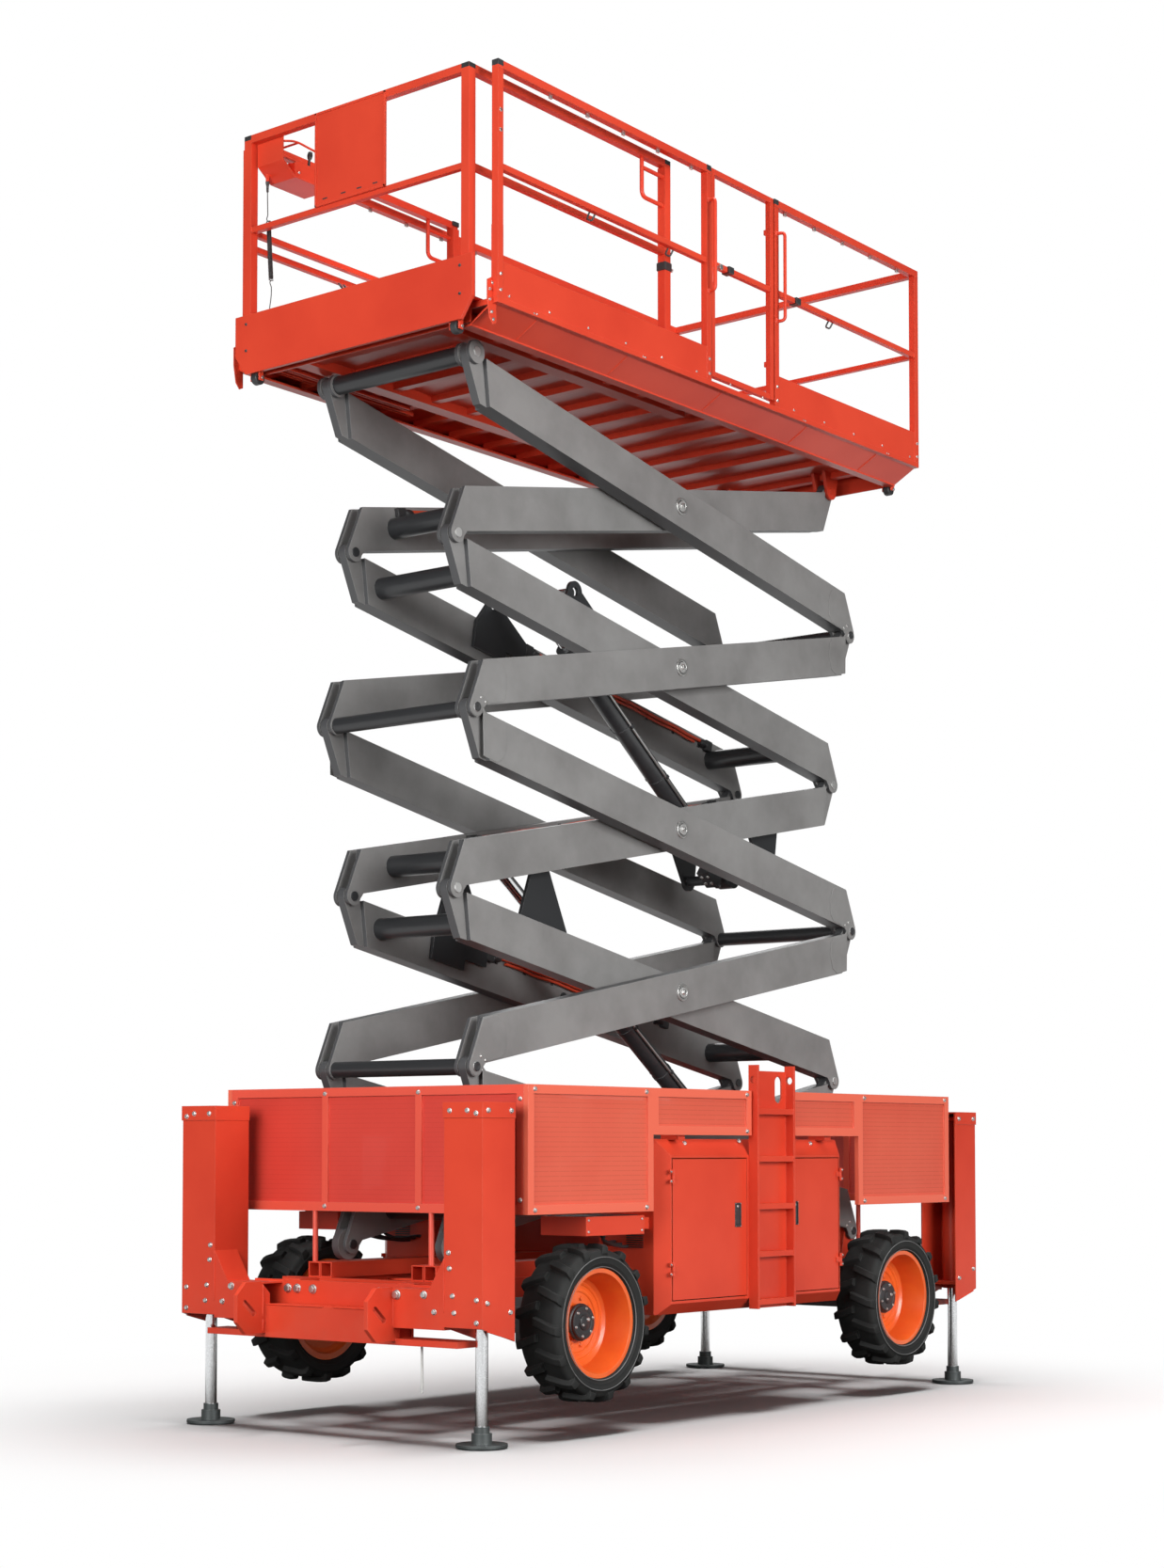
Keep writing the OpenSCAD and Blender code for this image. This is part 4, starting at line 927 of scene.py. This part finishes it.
def makeDeckDress():
    d, u, e, c = deckLevel, underRails, deckEdge, cornerPlate
    bm, bolts, black = meshes(3)
    w, t, k = u["wide"] / 2, u["tall"], u["skin"]
    channel = [(-w, 0), (w, 0), (w, -t), (w * .35, -t), (w * .35, k - t), (w - k, k - t), (w - k, -k),
               (k - w, -k), (k - w, k - t), (-w * .35, k - t), (-w * .35, -t), (-w, -t)]
    for s in (1, -1):
        for y, back in zip(u["y"], u["back"]):  # open channels that guide the sliding deck
            flat = Matrix(((0, 0, 1, back), (1, 0, 0, s * y), (0, 1, 0, u["top"]), (0, 0, 0, 1)))
            addPlate(bm, channel, u["front"] - back, flat, .0008)
        for x in e["seams"]:  # between the side beam's lengths
            high, low = e["seamY"]
            addWeld(bm, (x, s * high, d["lip"] - .003), (x, s * low, d["low"] + .01), .0035)
        for x in e["rivets"]:
            for dx in (-.01, .01):
                spot = (x + dx, s * e["face"], d["lip"] + .012)
                addTurned(bolts, e["rivet"], 10, facing(spot, (0, s, 0)))
        x = e["clipFirst"]
        while x < e["clipLast"]:  # toe board clips
            addBolt(bolts, (x, s * e["clipY"], d["floor"] + .02), (0, s, 0), .0055, x)
            x += e["clipStep"]
        addPlate(bm, c["outline"], .006, onSide(s * c["y"] - .003, 1), .001)
        for x, z in c["bolts"]:
            addBolt(bolts, (x, s * (c["y"] + .003), z), (0, s, 0), .0075, z)
        x, y, z = deckRollers["rear"]
        for lo, hi in ((-.034, -.024), (.024, .034)):  # cheeks of the rear roller
            addBlock(bm, (x - .006, s * y + lo, z - .012), (x + .03, s * y + hi, z + .062), .002)
        addRoller(black, bolts, (x + .01, s * y, z - .004), .04)
    finishPiece("deckDress", bm, "platform", red, 30)
    finishPiece("deckBolts", bolts, "platform", zinc)
    finishPiece("deckRollers", black, "platform", hoseBlack)


grabBars = dict(posts=(.31, -.346), low=6.06, high=6.56, root=.914, face=.915, out=.048, r=.0095,
                foot=[(.013, -.001), (.017, .001), (.012, .005), (.0095, .008)])
railFittings = dict(
    pitch=.302, first=1.657, last=-1.8, y=.895, gateway=(-.42, .36), face=.9152, weldY=.9155,
    left=(-1.86, 2.07, .31, -.346), right=(-1.86, 2.008, .31, -.346), underY=(.908, .882),
    eye=[(.004, -.001), (.01, -.001), (.01, .002), (.004, .003)], eyeX=2.07, rear=(-.6, -.2, .2, .6),
    rearX=-1.8802, hooks=(-.95, .62, 1.3), hookY=(.882, .862), plugs=(2.07, .31, -.346),
    plugY=(.8742, .916), clamps=(.105, -.56), clampY=(.868, .922))


def makeRailDress():
    d, g, r = deckLevel, grabBars, railFittings
    rail, mid = d["rail"], d["mid"]
    bm, bolts, black = meshes(3)
    for x in g["posts"]:
        out, y = x + math.copysign(.01, x), g["face"] + g["out"]
        loop = [(x, g["root"], g["low"]), (out, y, g["low"]), (out, y, g["high"]), (x, g["root"], g["high"])]
        addTube(bm, roundedLoop(loop, .03), g["r"], 12)
        for z in (g["low"], g["high"]):
            addTurned(bm, g["foot"], 16, facing((x, g["face"], z), (0, 1, 0)))
    for s in (1, -1):
        x = r["first"]
        while x > r["last"]:  # clips under the top rail, none across the gateway
            if s < 0 or not r["gateway"][0] < x < r["gateway"][1]:
                addBlock(bolts, (x - .011, s * r["y"] - .006, rail - .06),
                         (x + .011, s * r["y"] + .006, rail - .0395), .0015)
            x -= r["pitch"]
        for x in r["left" if s > 0 else "right"]:
            for z in (d["floor"] + .035, d["floor"] + .115):  # post feet screwed to the toe board
                addBolt(bolts, (x, s * r["face"], z), (0, s, 0), .0075, x)
            y, z = s * r["weldY"], rail - .0405
            addWeld(bm, (x - .019, y, z), (x + .019, y, z), .003)
            beside, (y0, y1), z = x + (-.0205 if x > 2 else .0205), r["underY"], mid - .031
            addWeld(bm, (beside, s * y0, z), (beside, s * y1, z), .003)
        for x in r["hooks"]:  # for harness lines
            (y0, y1), z = r["hookY"], mid - .03
            hook = [(x - .022, s * y0, z), (x - .022, s * y1, z - .03), (x + .022, s * y1, z - .03),
                    (x + .022, s * y0, z)]
            addTube(black, roundedLoop(hook, .014), .005, 8)
    for z in (rail - .25, mid + .16):
        addTurned(bolts, r["eye"], 18, facing((r["eyeX"], r["face"], z), (0, 1, 0)))
    for y in r["rear"]:
        addBolt(bolts, (r["rearX"], y, d["floor"] + .06), (-1, 0, 0), .0075, y)
    y0, y1 = r["plugY"]
    for x in r["plugs"]:  # in the open tube ends
        addBlock(black, (x - .0208, y0, rail - .028), (x + .0208, y1, rail + .0015), .001)
    y0, y1 = r["clampY"]
    for x in r["clamps"]:  # on the middle rail
        addBlock(black, (x - .024, y0, mid - .034), (x + .024, y1, mid + .004), .003)
    finishPiece("railDress", bm, "platform", red, 50)
    finishPiece("railBolts", bolts, "platform", zinc)
    finishPiece("harnessHooks", black, "platform", darkIron)


gateLatch = dict(x=.262, z=6.18, plateY=(.908, .914), knobY=.9135, boltY=.9138, seams=(-.2855, .2495),
                 seamY=.9115,
                 knob=[(0, 0), (.016, 0), (.016, .01), (.011, .014), (.011, .03), (.016, .034),
                       (.016, .044), (0, .046)])


def makeGateDress():
    g, d = gateLatch, deckLevel
    x, (y0, y1), z = g["x"], g["plateY"], g["z"]
    bm, bolts = meshes(2)
    addBlock(bm, (x - .03, y0, z - .06), (x + .016, y1, z + .06), .002)
    addTurned(bolts, g["knob"], 20, facing((x - .008, g["knobY"], z + .02), (0, 1, 0)))
    for dz in (-.045, .048):
        addBolt(bolts, (x - .008, g["boltY"], z + dz), (0, 1, 0), .006)
    for level in (d["mid"] - .015, d["floor"] + .045, d["rail"] - .018):
        for seam in g["seams"]:
            addWeld(bm, (seam, g["seamY"], level - .012), (seam, g["seamY"], level + .012), .0028)
    finishPiece("gateDress", bm, "gate", red, 50)
    finishPiece("gateLatch", bolts, "gate", zinc)


makeDeckDress()
makeRailDress()
makeGateDress()
print("platform dressed")


# sliding deck

sign = dict(x=2.156, y=(-.26, .23), z=(6.2574, 6.7494), lip=.012, slots=(-.19, -.06, .05, .16))
panelBolts = dict(x=2.172, y=(-.74, .74), z=(5.6, 5.74), size=.007)


def makeSignDress():
    bm, dark = meshes(2)
    x, (y0, y1), (z0, z1), t = sign["x"], sign["y"], sign["z"], sign["lip"]
    for a, b in (((y0, z0), (y1, z0 + t)), ((y0, z1 - t), (y1, z1)), ((y0, z0), (y0 + t, z1)),
                 ((y1 - t, z0), (y1, z1))):
        addBlock(bm, (x - .001, *a), (x + .005, *b), .0015)
    for y in sign["slots"]:
        addBlock(dark, (x - .0005, y - .016, z0 + .03), (x + .0012, y + .016, z0 + .037), .0004)
    for y in panelBolts["y"]:
        for z in panelBolts["z"]:
            addBolt(dark, (panelBolts["x"], y, z), (1, 0, 0), panelBolts["size"], z)
    finishPiece("signFlanges", bm, "extension", red, 30)
    finishPiece("signSlots", dark, "extension", darkIron)


console = dict(
    front=2.112, top=6.71436, y=-.63, guardY=.088, wire=.006, fall=(.03, .19),
    lever=[(.03, .004), (.026, .01), (.02, .013), (.016, .02), (.01, .024), (.007, .028), (.007, .07),
           (.012, .078), (.015, .095), (.012, .112), (.005, .117), (0, .118)],
    knobs=((.035, -.05), (.035, -.025), (.07, -.05), (.07, -.025), (.14, .045), (.14, .015)),
    knob=[(0, .004), (.0075, .004), (.0075, .009), (.006, .011), (0, .011)],
    stop=[(.012, .004), (.012, .016), (.021, .018), (.022, .026), (.016, .032), (0, .034)],
    boxRelief=[(.0046, -.052), (.0062, -.05), (.007, -.02), (.0105, -.006), (.011, .004), (0, .004)],
    socketRelief=[(.0046, .05), (.0062, .048), (.0072, .02), (.0125, .006), (.0145, -.004), (0, -.004)])


def makeConsole():
    c = console
    x, y, z, wire = c["front"], c["y"], c["top"], c["wire"]
    guard, grey, black, stop, bolts = meshes(5)
    for side in (y - c["guardY"], y + c["guardY"]):  # wire guard over the hood
        loop = [(x - .012, side, z - .02), (x - .1, side, z + .006), (x - .3, side, z - .01),
                (x - .348, side, z - .06), (x - .348, side, z - .184)]
        addTube(guard, roundedLoop(loop, .045), wire)
    for back, up in ((.348, -.07), (.12, .0025)):
        addTube(guard, [(x - back, y - c["guardY"], z + up), (x - back, y + c["guardY"], z + up)], wire)
    slope = Matrix.Translation((x - .34, y, z - .11)) @ Matrix.Rotation(-math.atan2(*c["fall"]), 4, "Y")
    addBlock(grey, (.006, -.07, -.001), (.184, .07, .005), .003, slope)
    addTurned(black, c["lever"], 24, slope @ Matrix.Translation((.08, .022, 0)))
    for u, v in c["knobs"]:
        addTurned(black, c["knob"], 16, slope @ Matrix.Translation((u, v, 0)))
    addTurned(stop, c["stop"], 28, slope @ Matrix.Translation((.145, -.04, 0)))
    for s in (-1, 1):
        for px in (x - .32, x - .14):
            addBolt(bolts, (px, y + s * .075, z - .15), (0, s, 0), .006, px)
        addBolt(bolts, (x - .008, y + s * .075, z - .06), (-1, 0, 0), .008)
    # tapered reliefs where the lead leaves the hood and enters its socket
    addTurned(black, c["boxRelief"], 18, Matrix.Translation(controlLead["fromBox"][0]))
    addTurned(black, c["socketRelief"], 18, Matrix.Translation(controlLead["toSocket"][-1]))
    finishPiece("hoodGuard", guard, "extension", red)
    finishPiece("consoleFace", grey, "extension", greyPlastic)
    finishPiece("consoleKnobs", black, "extension", hoseBlack)
    finishPiece("stopButton", stop, "extension", stopRed)
    finishPiece("consoleScrews", bolts, "extension", zinc)


pushHandle = dict(x=(.528, .715), y=.762, low=6.502, bar=6.66, high=6.716, r=.0115)
sliderPosts = dict(x=(.505, 2.127), y=.755, feet=(5.64, 5.72), cap=.0258, top=(6.73, 6.756),
                   clamp=(6.15, 6.196),
                   knob=[(0, 0), (.009, 0), (.009, .006), (.005, .008), (.005, .022), (.011, .026),
                         (.011, .036), (0, .038)])


def makeSliderDress():
    bm, black, bolts = meshes(3)
    h, p = pushHandle, sliderPosts
    for s in (1, -1):
        x, y, z = deckRollers["front"]  # under the front panel's lower corners
        addRoller(black, bolts, (x + .03, s * y, z), .038)
        for w in (-.029, .029):
            addBlock(bm, (x + .018, s * y + w - .004, z - .016),
                     (x + .052, s * y + w + .004, z + .062), .002)
        (x0, x1), y = h["x"], s * h["y"]
        handle = [(x0, y, h["low"]), (x1, y, h["low"]), (x1, y, h["high"])]
        addTube(bm, roundedLoop(handle, .04), h["r"], 12)
        addTube(bm, [(x0, y, h["bar"]), (x1, y, h["bar"])], h["r"], 12)
        y, (z0, z1) = s * p["y"], p["clamp"]
        addBlock(black, (.474, y - .031, z0), (.536, y + .031, z1), .004)
        addTurned(bolts, p["knob"], 16, facing((.473, y, (z0 + z1) / 2), (-1, 0, 0)))
        for x in p["x"]:
            for z in p["feet"]:
                addBolt(bolts, (x, s * .7802, z), (0, s, 0), .0075, z)
            addBlock(black, (x - p["cap"], y - p["cap"], p["top"][0]),
                     (x + p["cap"], y + p["cap"], p["top"][1]), .002)
    finishPiece("sliderDress", bm, "extension", red, 40)
    finishPiece("sliderRollers", black, "extension", hoseBlack)
    finishPiece("sliderBolts", bolts, "extension", zinc)


makeSignDress()
makeConsole()
makeSliderDress()
print("sliding deck dressed")


# floor and light

stage = dict(rings=(0, 3, 6, 12, 24, 60), seen=(.96, .96, .96), bounce=(.14, .13, .12), clear=(2.8, 5.0),
             sky=.13)


def makeFloor(s):
    bm = bmesh.new()
    addTurned(bm, [(r, 0) for r in s["rings"]], 64, Matrix.Translation((0, 0, -.001)))
    mesh = bpy.data.meshes.new("paleFloor")
    bmesh.ops.recalc_face_normals(bm, faces=bm.faces)
    bm.to_mesh(mesh)
    bm.free()
    floor = bpy.data.objects.new("paleFloor", mesh)
    scene.collection.objects.link(floor)
    f = Finish("paleFloor", Roughness=.9, Specular_IOR_Level=0.0)
    direct = f.node("LightPath", out="Is Camera Ray")
    f.feed(Base_Color=f.blend(direct, s["bounce"], s["seen"]))
    away = f.node("VectorMath", dict(operation="LENGTH"), {0: f.place()}, out="Value")
    near, far = s["clear"]
    share = f.node("MapRange", dict(interpolation_type="SMOOTHSTEP"),
                   {0: away, 1: near, 2: far, 3: 0.0, 4: 1.0})
    seen = direct + f.node("LightPath", out="Is Glossy Ray") + f.node("LightPath", out="Is Transmission Ray")
    white = f.node("Emission", None, dict(Color=(1.0, 1.0, 1.0), Strength=1.0))
    mixed = f.node("MixShader", None, {0: share * seen.sum("MINIMUM", seen, 1.0),
                                       1: Wire(f, f.shader.outputs[0]), 2: white})
    f.plug(mixed, f.tree.nodes["Material Output"].inputs["Surface"])
    mesh.materials.append(f.material)
    return floor


class Sky(Finish):  # the world's nodes, wired the same way
    def __init__(self, name):
        self.world = bpy.data.worlds.new(name)
        self.world.use_nodes = True
        self.tree = self.world.node_tree
        self.shader = self.tree.nodes["Background"]


def makeWorld(s):  # white where it is looked at, dimmer as a light
    f = Sky("paleRoom")
    seen = f.node("LightPath", out="Is Camera Ray") + f.node("LightPath", out="Is Transmission Ray")
    f.feed(Color=(1.0, 1.0, 1.0), Strength=s["sky"] + seen.sum("MINIMUM", seen, 1.0) * (1 - s["sky"]))
    scene.world = f.world


lamps = [dict(name="frontSoft", place=(14, 2.0, 5.2), aim=(0, 0, 2.2), size=(9, 7), watts=1620, floor=False),
         dict(name="sideSoft", place=(2.0, 15, 5.2), aim=(0, 0, 2.2), size=(9, 7), watts=2150, floor=False),
         dict(name="topSoft", place=(.3, .6, 26), aim=(0, .4, 0), size=(11, 10), watts=6700, floor=True),
         dict(name="backSoft", place=(-10, -7, 9), aim=(0, 0, 3.5), size=(6, 6), watts=350, floor=False)]


def makeLamps(floor):  # the low lamps pass the floor by, so that it keeps the shadow cast from above
    spared = bpy.data.collections.new("sparedFloor")
    spared.objects.link(floor)
    spared.collection_objects[0].light_linking.link_state = "EXCLUDE"
    for d in lamps:
        lamp = bpy.data.lights.new(d["name"], "AREA")
        lamp.shape = "RECTANGLE"
        lamp.size, lamp.size_y = d["size"]
        lamp.energy = d["watts"]
        stand = bpy.data.objects.new(d["name"], lamp)
        stand.location = d["place"]
        stand.rotation_euler = (Vector(d["aim"]) - Vector(d["place"])).to_track_quat("-Z", "Y").to_euler()
        scene.collection.objects.link(stand)
        if not d["floor"]:
            stand.light_linking.receiver_collection = spared


makeWorld(stage)
makeLamps(makeFloor(stage))
scene.view_settings.view_transform = "Standard"
print("floor and light set")
